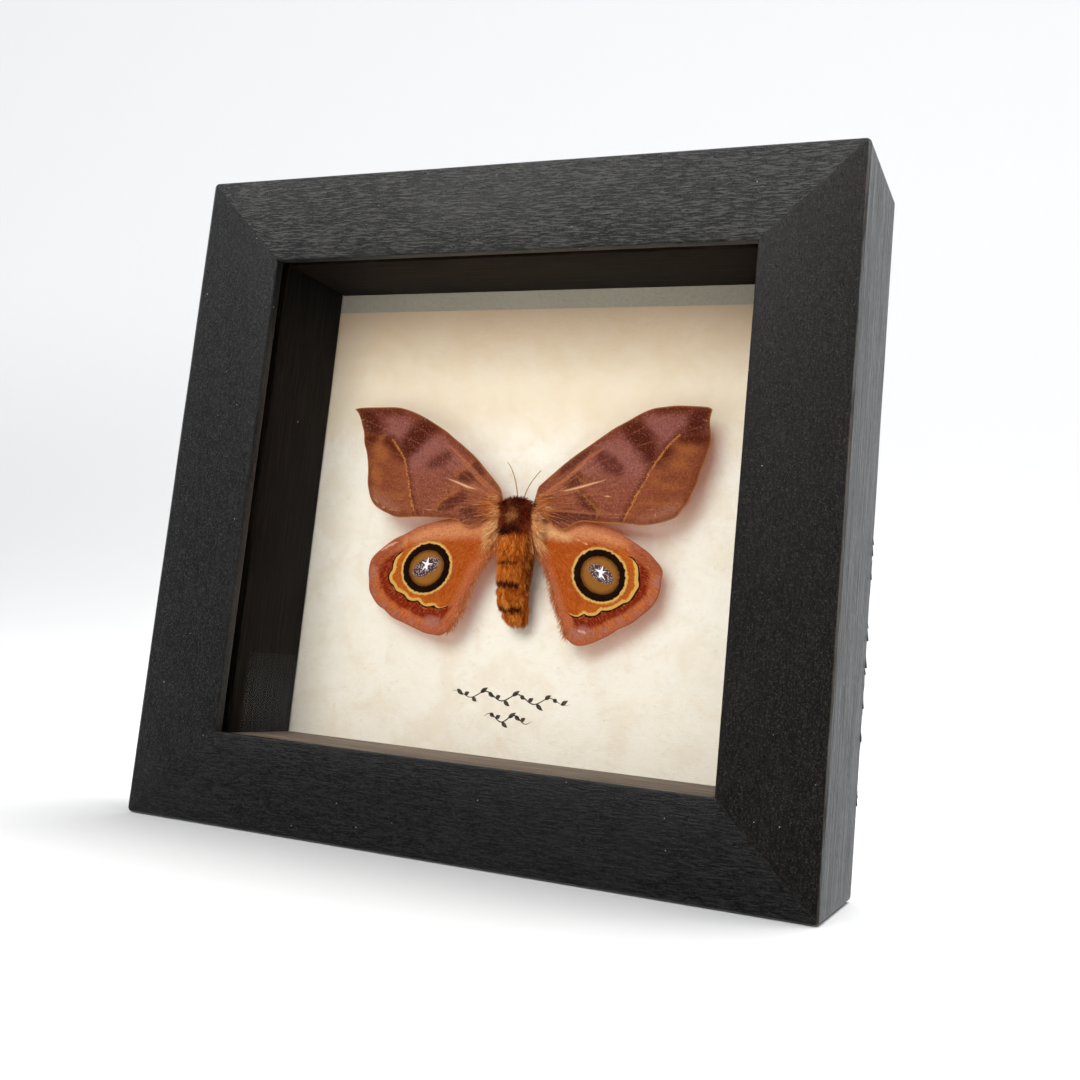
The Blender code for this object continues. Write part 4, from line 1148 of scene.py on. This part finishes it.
def hindwingFields(fields, marks, spots, fan, sign):
    scallop = smoothLine(marks["scallop"])
    gap, along = followField(spots, scallop)
    ends = np.clip(along / 0.10, 0, 1) * np.clip((1 - along) / 0.16, 0, 1)
    fields["eye"] = ovalField(spots, *marks["eye"]) * 5.35
    fields["disc"] = ovalField(spots, *marks["disc"]) * 3.86
    fields["pupil"] = ovalField(spots, *marks["pupil"])
    fields["halo"] = -gap
    fields["gold"] = np.interp(along, *hindwing["goldWidth"]) * ends - gap
    fields["ink"] = hindwing["inkWidth"] * (0.25 + 0.75 * ends) - gap
    fields["side"] = insideField(spots, np.vstack([scallop, marks["close"]]))
    fields["redness"] = np.clip((11.0 - gap * 1.6) / 8.0, 0, 1)
    return hindwing["waves"] * np.sin(fan[:, 0] * 1.9) * np.clip(fields["reach"] / 25, 0, 1)


for side in ("left", "right"):
    makeWing("hindwing", hindwing, side, hindwingScales, hindwingFields)
print("hindwings painted")


# a closed tube of changing width along a path
def tubeAlong(shape, path, radii, sides):
    ring = bmesh.ops.create_circle(shape, cap_ends=True, segments=sides, radius=1)["verts"]
    frames = []
    for index, point in enumerate(path):
        ahead = path[min(index + 1, len(path) - 1)] - path[max(index - 1, 0)]
        turn = Vector(ahead).to_track_quat("Z", "Y").to_matrix().to_4x4()
        frames.append(Matrix.Translation(Vector(point)) @ turn @ Matrix.Scale(radii[index], 4))
    bmesh.ops.transform(shape, matrix=frames[0], verts=ring)
    cap = next(face for face in ring[0].link_faces if len(face.verts) == sides)
    for before, after in zip(frames, frames[1:]):
        made = bmesh.ops.extrude_face_region(shape, geom=[cap])["geom"]
        if cap.is_valid and before is not frames[0]:
            bmesh.ops.delete(shape, geom=[cap], context="FACES_ONLY")
        bmesh.ops.transform(shape, matrix=after @ before.inverted(), verts=vertsIn(made))
        cap = facesIn(made)[0]


def curveThrough(points, steps):
    points = np.array(points, float)
    ticks = np.linspace(0, 1, len(points))
    fits = [np.polyfit(ticks, column, 3) for column in points.T]
    return np.column_stack([np.polyval(fit, np.linspace(0, 1, steps)) for fit in fits])


def unit(vectors):
    return vectors / np.linalg.norm(vectors, axis=1)[:, None]


# hair: many thin bent blades joined in one mesh, from arrays
def addHair(name, roots, tips, bends, width, tints, extra, material):
    count = len(roots)
    random = np.random.default_rng(count)
    facing = np.column_stack([random.normal(0, 0.5, count), -np.ones(count), random.normal(0, 0.5, count)])
    across = unit(np.cross(unit(tips - roots), facing)) * width / 2
    middle = (roots + tips) / 2 + bends
    waist = across * 0.85
    corners = np.stack([roots - across, roots + across, middle - waist, middle + waist, tips], 1)
    first = np.arange(count)[:, None] * 5
    quads = (first + np.array([0, 1, 3, 2])).tolist()
    points = (first + np.array([2, 3, 4])).tolist()
    mesh = bpy.data.meshes.new(name)
    mesh.from_pydata((corners.reshape(-1, 3) * mm).tolist(), [], quads + points)
    setField(mesh, "along", np.tile([0.0, 0.0, 0.5, 0.5, 1.0], count))
    setField(mesh, "tint", np.repeat(tints, 5))
    for key, values in extra.items():
        setField(mesh, key, np.repeat(values, 5))
    mesh.transform(Matrix.Translation((0, frontY, 0)))
    addPiece(name, mesh, material)


def makeFurMaterial(name, dark, mid, pale, second, field, low, high):
    material, tree = newMaterial(name, 0.7, Specular_IOR_Level=0.06)
    tint = painted(tree, "tint")
    clumps = grainy(tree, objectSpace(tree), 1500.0, 3.0, 0.7)
    tint = plus(tree, tint, centred(tree, clumps, 1.1))
    colour = blend(tree, rise(tree, tint, 0.05, 0.55), dark, mid)
    colour = blend(tree, rise(tree, tint, 0.55, 1.0, 0.85), colour, pale)
    colour = blend(tree, rise(tree, painted(tree, field), low, high, 0.94), colour, second)
    # painted shade: darker towards each hair's root, among the other hairs
    colour = blend(tree, fall(tree, painted(tree, "along"), 0.0, 0.5, 0.35), colour, dark)
    return finishMaterial(material, colour, clumps, 0.00008)


# tones from dark to pale, then one more and the painted value that brings it in
thoraxFur = makeFurMaterial("maroonFur", tone(42, 12, 6), tone(104, 34, 15), tone(168, 78, 34),
                            tone(206, 134, 76), "worn", 0.2, 0.9)
abdomenFur = makeFurMaterial("orangeFur", tone(140, 58, 12), tone(206, 104, 28), tone(236, 158, 68),
                             tone(46, 20, 8), "band", 0.3, 0.8)
rootFur = makeFurMaterial("creamFur", tone(180, 102, 48), tone(222, 154, 92), tone(252, 220, 168),
                          tone(170, 78, 30), "band", 0.3, 0.8)


def makeSkin(name, dark, pale, banded=False):
    material, tree = newMaterial(name, 0.8, Specular_IOR_Level=0.05)
    clumps = grainy(tree, objectSpace(tree, (1, 1, 0.4)), 2600.0, 3.0, 0.6)
    colour = blend(tree, rise(tree, clumps, 0.35, 0.7), dark, pale)
    if banded:
        # dark rings, and on the abdomen the painted shade down its right side
        colour = blend(tree, rise(tree, painted(tree, "band"), 0.3, 0.9, 0.9), colour, tone(40, 18, 8))
    return finishMaterial(material, colour, clumps, 0.0002)


thoraxSkin = makeSkin("thoraxSkin", tone(40, 12, 6), tone(84, 28, 14))
abdomenSkin = makeSkin("abdomenSkin", tone(120, 50, 12), tone(176, 84, 24), banded=True)


# clumps of hair share a tint, so that tufts can be told apart
def tuftTint(points, size, seed):
    return np.array([noise.noise(Vector(point) / size + Vector((seed, 0, 0))) for point in points])


# head, collar and thorax are one dark woolly mass
thorax = {
    "parts": [  # centre, half sizes, hairs
        ((0.55, 20.2, 67.7), (3.35, 2.1, 1.35), 3000),
        ((0.45, 20.3, 65.0), (2.85, 2.5, 2.95), 4200),
    ],
    "length": (0.9, 2.1), "width": 0.10, "seed": 11,
    "wornAt": (0.25, 66.2), "wornRadius": 1.05, "headFrom": 67.2, "darkBelow": 64.2, "longBelow": 63.6,
    "legs": [  # one side's, folded under the thorax
        [(1.2, 21.8, 66.6), (2.8, 23.2, 67.0), (2.3, 24.2, 68.0), (1.5, 24.7, 68.6)],
        [(1.4, 21.8, 65.2), (3.0, 23.6, 64.8), (2.5, 24.7, 62.4), (2.0, 24.9, 60.9)],
        [(1.2, 21.8, 63.6), (2.5, 23.8, 62.6), (1.8, 24.9, 60.2), (1.3, 25.1, 58.2)]],
    "legRadii": (0.32, 0.16),
}


def makeTorso(setup):
    shape = bmesh.new()
    for centre, half, count in setup["parts"]:
        size = Matrix.Diagonal([reach * 0.94 * mm for reach in half] + [1])
        spot = Matrix.Translation((centre[0] * mm, centre[1] * mm + frontY, centre[2] * mm))
        bmesh.ops.create_icosphere(shape, subdivisions=4, radius=1, matrix=spot @ size)
    for sign in (-1, 1):
        for leg in setup["legs"]:
            path = curveThrough([(sign * x, depth + frontY / mm, z) for x, depth, z in leg], 20)
            tubeAlong(shape, path * mm, np.linspace(*setup["legRadii"], 20) * mm, 8)
    bmesh.ops.recalc_face_normals(shape, faces=shape.faces)
    addPiece("thorax_body", meshFrom(shape, "thorax_body"), thoraxSkin,
             ["moth_head", "moth_thorax"], smoothAngle=60)


def makeThoraxFur(setup):
    random = np.random.default_rng(setup["seed"])
    roots, outward = [], []
    for centre, half, count in setup["parts"]:
        angle = random.uniform(0, 2 * np.pi, count)
        ring = np.sqrt(random.uniform(0, 1, count)) * 0.99
        face = np.column_stack([ring * np.cos(angle), -np.sqrt(1 - ring ** 2), ring * np.sin(angle)])
        roots.append(np.array(centre) + face * np.array(half) * 0.95)
        outward.append(unit(face / np.array(half)))
    roots, outward = np.vstack(roots), np.vstack(outward)
    count = len(roots)
    x, height = roots[:, 0], roots[:, 2]
    above = np.clip((height - 66.8) / 2.4, 0, 1)[:, None]
    down = np.column_stack([x * 0.16, random.normal(0, 0.1, count), np.full(count, -0.9)])
    up = np.column_stack([x * 0.22, np.full(count, -0.2), np.full(count, 0.25)])
    flow = down * (1 - above) + up * above + random.normal(0, 0.30, (count, 3))
    lengths = random.uniform(*setup["length"], count) * np.where(height < setup["longBelow"], 1.25, 1.0)
    wornX, wornZ = setup["wornAt"]
    worn = np.hypot(x - wornX, (height - wornZ) * 0.7) - 0.6 * tuftTint(roots, 0.7, 21)
    worn = np.clip(1.6 - worn / setup["wornRadius"], 0, 1) * random.uniform(0.45, 1.25, count)
    lengths = lengths * (1 - 0.5 * np.clip(worn, 0, 1)) * (1 - 0.35 * above[:, 0])
    tips = roots + unit(flow + outward * 0.5) * lengths[:, None]
    bends = outward * 0.18 * lengths[:, None]
    tints = random.beta(1.5, 2.8, count) + 0.35 * tuftTint(roots, 0.9, 3)
    sides = np.clip((np.abs(x - 0.3) - 1.3) / 1.2, 0, 1) * np.clip((67.0 - height) / 2.0, 0, 1)
    tints = tints + (0.30 + 0.35 * (x > 0)) * sides  # a paler fringe, above all on the right
    tints = tints + 0.10 * (height > setup["headFrom"])
    tints = tints - 0.22 * (height < setup["darkBelow"]) * (np.abs(x) < 2)
    tints = np.clip(tints, 0, 1)
    addHair("thorax_fur", roots, tips, bends, setup["width"], tints, {"worn": worn}, thoraxFur)


makeTorso(thorax)
makeThoraxFur(thorax)


# the abdomen tapers to a woolly tip and bends to one side; its rings are edged in black, and its right side
# is darkened as painted shade
abdomen = {
    "top": (20.5, 63.6), "length": 18.9, "drop": 2.9,
    "middle": ((0, 0.12, 0.25, 0.38, 0.5, 0.6, 0.7, 0.8, 0.9, 1.0),
               (0.75, 0.8, 0.75, 0.62, 0.45, 0.35, 0.35, 0.5, 0.85, 1.35)),
    "radii": ((0, 0.1, 0.25, 0.45, 0.62, 0.80, 0.90, 0.96, 1.0),
              (2.2, 3.0, 3.3, 3.1, 2.85, 2.6, 2.3, 1.9, 0.9)),
    "sides": 32, "steps": 60, "ruffle": 0.16,
    "hairs": 10500, "hairLength": (0.8, 1.7), "width": 0.10, "seed": 23,
    "bands": [(56.0, 0.26, 0.8), (51.8, 0.46, 1.5), (46.8, 0.40, 1.5)],
    "golden": (0.2, 48.2),
    "deepest": 25.7,  # just in front of the card
}


def abdomenLine(share):  # the middle of the abdomen, share of its length down
    top = abdomen["top"]
    return np.column_stack([np.interp(share, *abdomen["middle"]), top[0] + abdomen["drop"] * share ** 2.2,
                            top[1] - abdomen["length"] * share])


def abdomenBandsAndShade(points):
    middle = abdomenLine((abdomen["top"][1] - points[:, 2]) / abdomen["length"])[:, 0]
    side = points[:, 0] - middle
    band = np.zeros(len(points))
    for height, thick, strength in abdomen["bands"]:
        jagged = 0.22 * np.sin(side * 5.1 + height) + 0.14 * np.sin(side * 11.3)
        bow = 0.10 * side ** 2 if height < 50 else 0.015 * side ** 2
        gap = points[:, 2] - height - bow - np.maximum(jagged, -0.1)
        fade = np.clip(1.5 - ((side + 0.3) / 2.5) ** 2, 0.0, 1.0)
        band = np.maximum(band, strength * fade * np.clip(1.6 - np.abs(gap) / thick, 0, 1))
    # painted shade down the abdomen's right side, carried with the dark bands
    shade = np.clip((side - 1.3) / 1.5, 0, 1) * np.clip((points[:, 2] - 44) / 9, 0.3, 1)
    return np.maximum(band, 0.55 * shade)


def makeAbdomen(setup):
    share = np.linspace(0, 1, setup["steps"])
    radii = np.interp(share, *setup["radii"]) * (1 + 0.03 * np.sin(share * 2 * np.pi * 4.6))
    path = abdomenLine(share)
    path[:, 1] += frontY / mm
    shape = bmesh.new()
    tubeAlong(shape, path * mm, radii * mm, setup["sides"])
    bmesh.ops.recalc_face_normals(shape, faces=shape.faces)
    for vert in shape.verts:
        vert.co += vert.normal * noise.noise(vert.co * 900) * setup["ruffle"] * mm
    bmesh.ops.smooth_vert(shape, verts=shape.verts, factor=0.3, use_axis_x=True, use_axis_y=True,
                          use_axis_z=True)
    mesh = meshFrom(shape, "abdomen_body")
    setField(mesh, "band", abdomenBandsAndShade(placesIn(mesh) / mm))
    addPiece("abdomen_body", mesh, abdomenSkin, ["moth_abdomen"], smoothAngle=60)


def makeAbdomenFur(setup):
    random = np.random.default_rng(setup["seed"])
    count = setup["hairs"]
    share = random.uniform(0, 1, count) ** 0.9
    angle = random.uniform(-0.6 * np.pi, 0.6 * np.pi, count)
    radius = np.interp(share, *setup["radii"])
    outward = np.column_stack([np.sin(angle), -np.cos(angle), np.zeros(count)])
    roots = abdomenLine(share) + outward * radius[:, None] * 0.96
    flow = np.column_stack([np.sin(angle) * 0.10 + 0.06, np.full(count, 0.12), np.full(count, -1.0)])
    flow += random.normal(0, 0.24, (count, 3)) * np.array([1, 0.6, 0.3])
    flow[:, 0] += 0.22 * tuftTint(roots, 1.1, 9)
    tail = np.clip((share - 0.86) / 0.14, 0, 1)
    direction = unit(flow + outward * (random.uniform(0.10, 0.50, count) * (1 - 0.7 * tail))[:, None])
    lengths = random.uniform(*setup["hairLength"], count)
    lengths = lengths * np.where(abdomenBandsAndShade(roots) > 0.75, 0.6, 1.0)
    tips = roots + direction * lengths[:, None]
    tips[:, 0] += (abdomenLine(np.ones(count))[:, 0] - tips[:, 0]) * 0.08 * tail
    tips[:, 1] = np.minimum(tips[:, 1], setup["deepest"])
    bends = outward * 0.15 * lengths[:, None]
    # the dark bands and the painted shade down the right side
    band = abdomenBandsAndShade(roots * 0.35 + tips * 0.65) * random.uniform(0.7, 1.15, count)
    goldX, goldZ = setup["golden"]
    gold = np.exp(-((roots[:, 0] - goldX) ** 2 + (roots[:, 2] - goldZ) ** 2) / 0.45)
    tints = random.beta(2.0, 2.2, count) + 0.55 * tuftTint(roots * np.array([1, 1, 0.6]), 0.8, 5)
    tints = tints + 0.4 * gold
    addHair("abdomen_fur", roots, tips, bends, setup["width"], np.clip(tints + 0.1 * tail, 0, 1),
            {"band": band * (1 - 0.8 * gold)}, abdomenFur)


makeAbdomen(abdomen)
makeAbdomenFur(abdomen)


# long soft hair at the wing roots, on the wings' bases and along the hindwings' inner margins
rootHair = {
    "tufts": [  # start, end, spread, count, length, direction, depth, how orange
        ((-3.2, 65.2), (-4.0, 63.4), 0.5, 420, 3.4, (-0.85, -0.60), 19.5, 0.0),
        ((4.0, 65.4), (4.4, 63.4), 0.5, 420, 3.2, (0.85, -0.50), 19.5, 0.0),
        ((-3.6, 63.6), (-4.6, 61.4), 0.6, 380, 3.6, (-0.70, -1.0), 20.3, 0.25),
        ((4.2, 63.4), (5.2, 61.0), 0.6, 360, 3.4, (0.65, -1.0), 20.3, 0.4),
        ((-3.3, 67.6), (-3.8, 65.4), 0.4, 420, 2.4, (-0.9, -0.15), 19.2, 0.7),
        ((3.6, 67.6), (4.2, 65.4), 0.4, 420, 2.4, (0.9, -0.10), 19.2, 0.7),
        ((-2.6, 63.4), (-3.4, 59.0), 0.5, 420, 2.0, (-0.25, -1.0), 19.8, 1.0),
        ((3.2, 63.6), (4.2, 59.0), 0.5, 420, 2.0, (0.25, -1.0), 19.8, 1.0),
        ((-4.2, 69.6), (-4.6, 66.8), 0.7, 150, 4.2, (-1.0, 0.12), 19.5, 1.0),
        ((4.8, 70.0), (5.2, 67.0), 0.7, 150, 4.2, (1.0, 0.12), 19.5, 1.0),
        ((-4.6, 68.6), (-5.0, 65.8), 0.7, 130, 4.8, (-1.0, -0.08), 19.5, 1.0),
        ((5.2, 68.2), (5.4, 66.4), 0.7, 130, 4.8, (1.0, -0.06), 19.5, 1.0)],
    "margins": {"left": [(-4.6, 58.6), (-7.7, 53.4), (-9.6, 48.6), (-10.9, 44.8), (-12.8, 42.0)],
                "right": [(5.6, 59.6), (8.9, 54.1), (10.3, 50.0), (12.2, 46.0), (13.8, 42.6)]},
    "marginHairs": 1500, "marginDepth": 20.9, "width": 0.075, "seed": 37,
}


def makeRootHair(setup):
    random = np.random.default_rng(setup["seed"])
    roots, tips, bands = [], [], []
    for start, end, spread, count, length, way, depth, orange in setup["tufts"]:
        share = random.uniform(0, 1, count)[:, None]
        spot = np.array(start) * (1 - share) + np.array(end) * share
        spot = spot + random.normal(0, spread * 0.5, (count, 2))
        level = depth + random.normal(0, 0.12, count)
        reach = random.uniform(0.35, 1.0, count)[:, None] * length
        tip = spot + (np.array(way) + random.normal(0, 0.20, (count, 2))) * reach
        roots.append(np.column_stack([spot[:, 0], level, spot[:, 1]]))
        tips.append(np.column_stack([tip[:, 0], level + random.uniform(-0.1, 0.2, count), tip[:, 1]]))
        bands.append(orange * random.uniform(0.3, 1.1, count))
    for side, line in setup["margins"].items():
        outer = 1 if side == "left" else -1
        count = setup["marginHairs"]
        path = smoothLine(line, spacing=0.2)
        picks = random.integers(0, len(path) - 1, count)
        away = unit(path[picks + 1] - path[picks])
        spot = path[picks] + random.normal(0, 0.35, (count, 2))
        heading = away * random.uniform(0.4, 1.0, count)[:, None]
        heading[:, 0] += outer * random.uniform(0.15, 0.9, count)
        tip = spot + heading * random.uniform(0.5, 1.6, count)[:, None]
        shift = hindwing["shift"]
        roots.append(np.column_stack([spot[:, 0] + shift, np.full(count, setup["marginDepth"]), spot[:, 1]]))
        tips.append(np.column_stack([tip[:, 0] + shift, random.uniform(20.7, 21.3, count), tip[:, 1]]))
        bands.append(random.uniform(0.4, 1.0, count))
    roots, tips, bands = np.vstack(roots), np.vstack(tips), np.concatenate(bands)
    count = len(roots)
    bends = [random.normal(0, 0.08, count), random.uniform(-0.25, 0, count), random.normal(0, 0.08, count)]
    addHair("wing_root_hair", roots, tips, np.column_stack(bends), setup["width"], random.beta(2, 2, count),
            {"band": bands}, rootFur)


makeRootHair(rootHair)
print("fur grown")


# antennae: tapering tubes drawn out along a curved path
antenna = {
    "left": [(0.15, 20, 69), (-0.1, 19.8, 71), (-0.7, 19.6, 73.2), (-1.6, 19.5, 75.3), (-2.7, 19.4, 76.7)],
    "right": [(1.5, 20, 69), (1.95, 19.8, 70.9), (2.8, 19.6, 72.6), (3.9, 19.5, 74.1), (4.9, 19.4, 75.3)],
    "radius": 0.13, "tip": 0.08, "sides": 8, "steps": 28,
}


def makeHornMaterial():
    material, tree = newMaterial("dryHorn", 0.55)
    rings = grainy(tree, objectSpace(tree, (1, 1, 4)), 1600.0, 2.0)
    colour = blend(tree, rise(tree, rings, 0.35, 0.7), tone(160, 124, 66), tone(206, 172, 110))
    return finishMaterial(material, colour)


horn = makeHornMaterial()
for side in ("left", "right"):
    path = curveThrough(antenna[side], antenna["steps"])
    path[:, 1] += frontY / mm
    radii = np.linspace(antenna["radius"], antenna["tip"], antenna["steps"])
    shape = bmesh.new()
    tubeAlong(shape, path * mm, radii * mm, antenna["sides"])
    bmesh.ops.recalc_face_normals(shape, faces=shape.faces)
    name = f"antenna_{side}"
    addPiece(name, meshFrom(shape, name), horn, [f"moth_{name}"], smoothAngle=60)
print("antennae made")


# the label's place holds a plain leafy ornament
ornament = {
    "rows": [((0.0, 29.6), 13.6, 7.2), ((0.0, 25.4), 5.6, 5.6)],  # middle, half-length, wave length
    "stem": 0.12, "leaf": 0.5, "leafLength": 1.9, "swing": 0.8, "depth": 26.0, "thick": 0.02,
    "gap": 0.005,
}


def ribbon(shape, path, widths):
    steps = len(path) - 1
    made = bmesh.ops.create_grid(shape, x_segments=steps, y_segments=1, size=1)["verts"]
    slopes = np.gradient(path, axis=0)
    slopes /= np.hypot(*slopes.T)[:, None]
    ticks = np.arange(len(path))
    for vert in made:
        at = (vert.co.x + 1) / 2 * steps
        side = 1 if vert.co.y > 0 else -1
        x, z, sx, sz, w = (np.interp(at, ticks, row) for row in (*path.T, *slopes.T, widths))
        vert.co = (x - sz * w * side, 0, z + sx * w * side)


def makeOrnament(setup):
    shape = bmesh.new()
    for (middleX, middleZ), reach, wave in setup["rows"]:
        along = np.linspace(-reach, reach, 90)
        height = setup["swing"] * np.sin(along / wave * 2 * np.pi) * (1 - (along / reach) ** 6)
        path = np.column_stack([middleX + along, middleZ + height])
        ribbon(shape, path, setup["stem"] * (1.02 - np.abs(along / reach) ** 3))
        leaves = np.arange(-reach + 1.6, reach - 1.2, wave / 4)
        for number, spot in enumerate(leaves):
            swung = setup["swing"] * math.sin(spot / wave * 2 * math.pi)
            base = np.array([middleX + spot, middleZ + swung])
            side = 1 if number % 2 else -1
            share = np.linspace(0, 1, 12)
            size = setup["leafLength"] * (0.8 + 0.2 * math.cos(spot))
            curve = np.column_stack([share * size * 0.8, side * (share * size * 0.75 - 0.25 * share ** 2)])
            widths = setup["leaf"] * np.sin(np.pi * share ** 0.8) * (0.9 - 0.3 * share) + 0.04
            ribbon(shape, base + curve, widths)
    bmesh.ops.recalc_face_normals(shape, faces=shape.faces)
    bmesh.ops.solidify(shape, geom=shape.faces[:], thickness=setup["thick"])
    bmesh.ops.recalc_face_normals(shape, faces=shape.faces)
    middle = sum(vert.co.y for vert in shape.verts) / len(shape.verts)
    inFront = frontY / mm + setup["depth"] - setup["thick"] / 2 - setup["gap"]  # of the card
    bmesh.ops.translate(shape, vec=(0, inFront - middle, 0), verts=shape.verts)
    bmesh.ops.scale(shape, vec=(mm, mm, mm), verts=shape.verts)
    addPiece("card_ornament", meshFrom(shape, "card_ornament"), ink)


makeOrnament(ornament)
print("ornament drawn")


# the studio: a pale seamless backdrop, soft lights and a dim room in front
studio = {
    "floor": (tone(200, 200, 200), tone(20, 20, 20), tone(152, 152, 152)),  # colour, glow near and far
    "wall": (tone(150, 150, 151), tone(216, 217, 219)),  # colour, glow
    "near": 0.13, "far": 0.50,
    "wallAt": 1.1, "bend": 0.55, "width": 6.0, "frontAt": -2.0, "top": 3.0,
    "lights": [  # name, place, aim, size, spread, power, colour, lights matt surfaces, shows in reflections
        ("window", (-0.11, -1.02, 0.55), (0, 0, 0.066), (0.75, 0.60), 180,
         9.5, (1.0, 0.995, 0.98), True, False),
        ("key", (-0.20, -0.75, 0.80), (0, 0, 0.066), (1.0, 0.60), 180,
         2.3, (1.0, 1.0, 1.0), True, True),
        ("shine", (-0.36, -0.70, 0.66), (0, 0, 0.066), (0.50, 0.30), 180,
         1.6, (1.0, 1.0, 1.0), False, True),
        ("overhead", (0.25, 0.35, 1.4), (0, -0.10, 0), (0.9, 0.9), 100,
         9.0, (1.0, 1.0, 1.0), True, True),
    ],
    "room": (0.97, 0.98, 1.0, 1), "roomStrength": 0.95, "frontStrength": 0.05,
}


def makeBackdrop(setup):
    shape = bmesh.new()
    bmesh.ops.create_grid(shape, x_segments=2, y_segments=60, size=1)
    flatRun = setup["wallAt"] - setup["bend"] - setup["frontAt"]
    arc = setup["bend"] * math.pi / 2
    total = flatRun + arc + setup["top"] - setup["bend"]
    for vert in shape.verts:
        run = (vert.co.y + 1) / 2 * total
        if run < flatRun:
            y, z = setup["frontAt"] + run, 0
        elif run < flatRun + arc:
            angle = (run - flatRun) / setup["bend"]
            y = setup["wallAt"] - setup["bend"] + setup["bend"] * math.sin(angle)
            z = setup["bend"] * (1 - math.cos(angle))
        else:
            y, z = setup["wallAt"], setup["bend"] + run - flatRun - arc
        vert.co = (vert.co.x * setup["width"] / 2, y, z - 0.0002)
    bmesh.ops.recalc_face_normals(shape, faces=shape.faces)
    mesh = meshFrom(shape, "backdrop")
    mesh.shade_smooth()
    material, tree = newMaterial("backdropPaper", 0.8, Specular_IOR_Level=0.0, Emission_Strength=1.0)
    height = axis(tree, objectSpace(tree), 2)
    upward = rise(tree, height, 0.0, setup["bend"])
    finishMaterial(material, blend(tree, upward, setup["floor"][0], setup["wall"][0]))
    away = place(tree, "ShaderNodeVectorMath", {0: objectSpace(tree)}, operation="LENGTH").outputs["Value"]
    glow = blend(tree, rise(tree, away, setup["near"], setup["far"]), *setup["floor"][1:])
    tree.links.new(blend(tree, upward, glow, setup["wall"][1]),
                   tree.nodes["Principled BSDF"].inputs["Emission Color"])
    mesh.materials.append(material)
    backdrop = bpy.data.objects.new("backdrop", mesh)
    bpy.context.scene.collection.objects.link(backdrop)
    backdrop.visible_glossy = False  # or the dark paint would mirror it


def makeLights(setup):
    for name, spot, aim, size, spread, power, colour, matt, shiny in setup["lights"]:
        data = bpy.data.lights.new(name, "AREA")
        data.shape = "RECTANGLE"
        data.size, data.size_y = size
        data.spread = math.radians(spread)
        data.energy = power
        data.color = colour
        lamp = bpy.data.objects.new(name, data)
        lamp.location = spot
        lamp.rotation_euler = (Vector(aim) - Vector(spot)).to_track_quat("-Z", "Y").to_euler()
        lamp.visible_diffuse = matt
        lamp.visible_glossy = shiny
        lamp.visible_transmission = False  # its light passes the glass as shadow rays do
        bpy.context.scene.collection.objects.link(lamp)


def makeRoom(setup):
    world = bpy.data.worlds.new("room")
    world.use_nodes = True
    tree = world.node_tree
    sky = tree.nodes["Background"]
    sky.inputs["Color"].default_value = setup["room"]
    way = place(tree, "ShaderNodeSeparateXYZ", {0: place(tree, "ShaderNodeTexCoord").outputs["Generated"]})
    front = times(tree, fall(tree, way.outputs[1], -0.60, 0.0), fall(tree, way.outputs[2], 0.35, 0.60))
    seen = place(tree, "ShaderNodeLightPath").outputs["Is Camera Ray"]
    front = times(tree, front, calc(tree, "SUBTRACT", 1.0, seen))
    dim = times(tree, front, setup["frontStrength"] - setup["roomStrength"])
    tree.links.new(plus(tree, dim, setup["roomStrength"]), sky.inputs["Strength"])
    bpy.context.scene.world = world


makeBackdrop(studio)
makeLights(studio)
makeRoom(studio)
bpy.context.scene.view_settings.view_transform = "Standard"
print("studio lit")
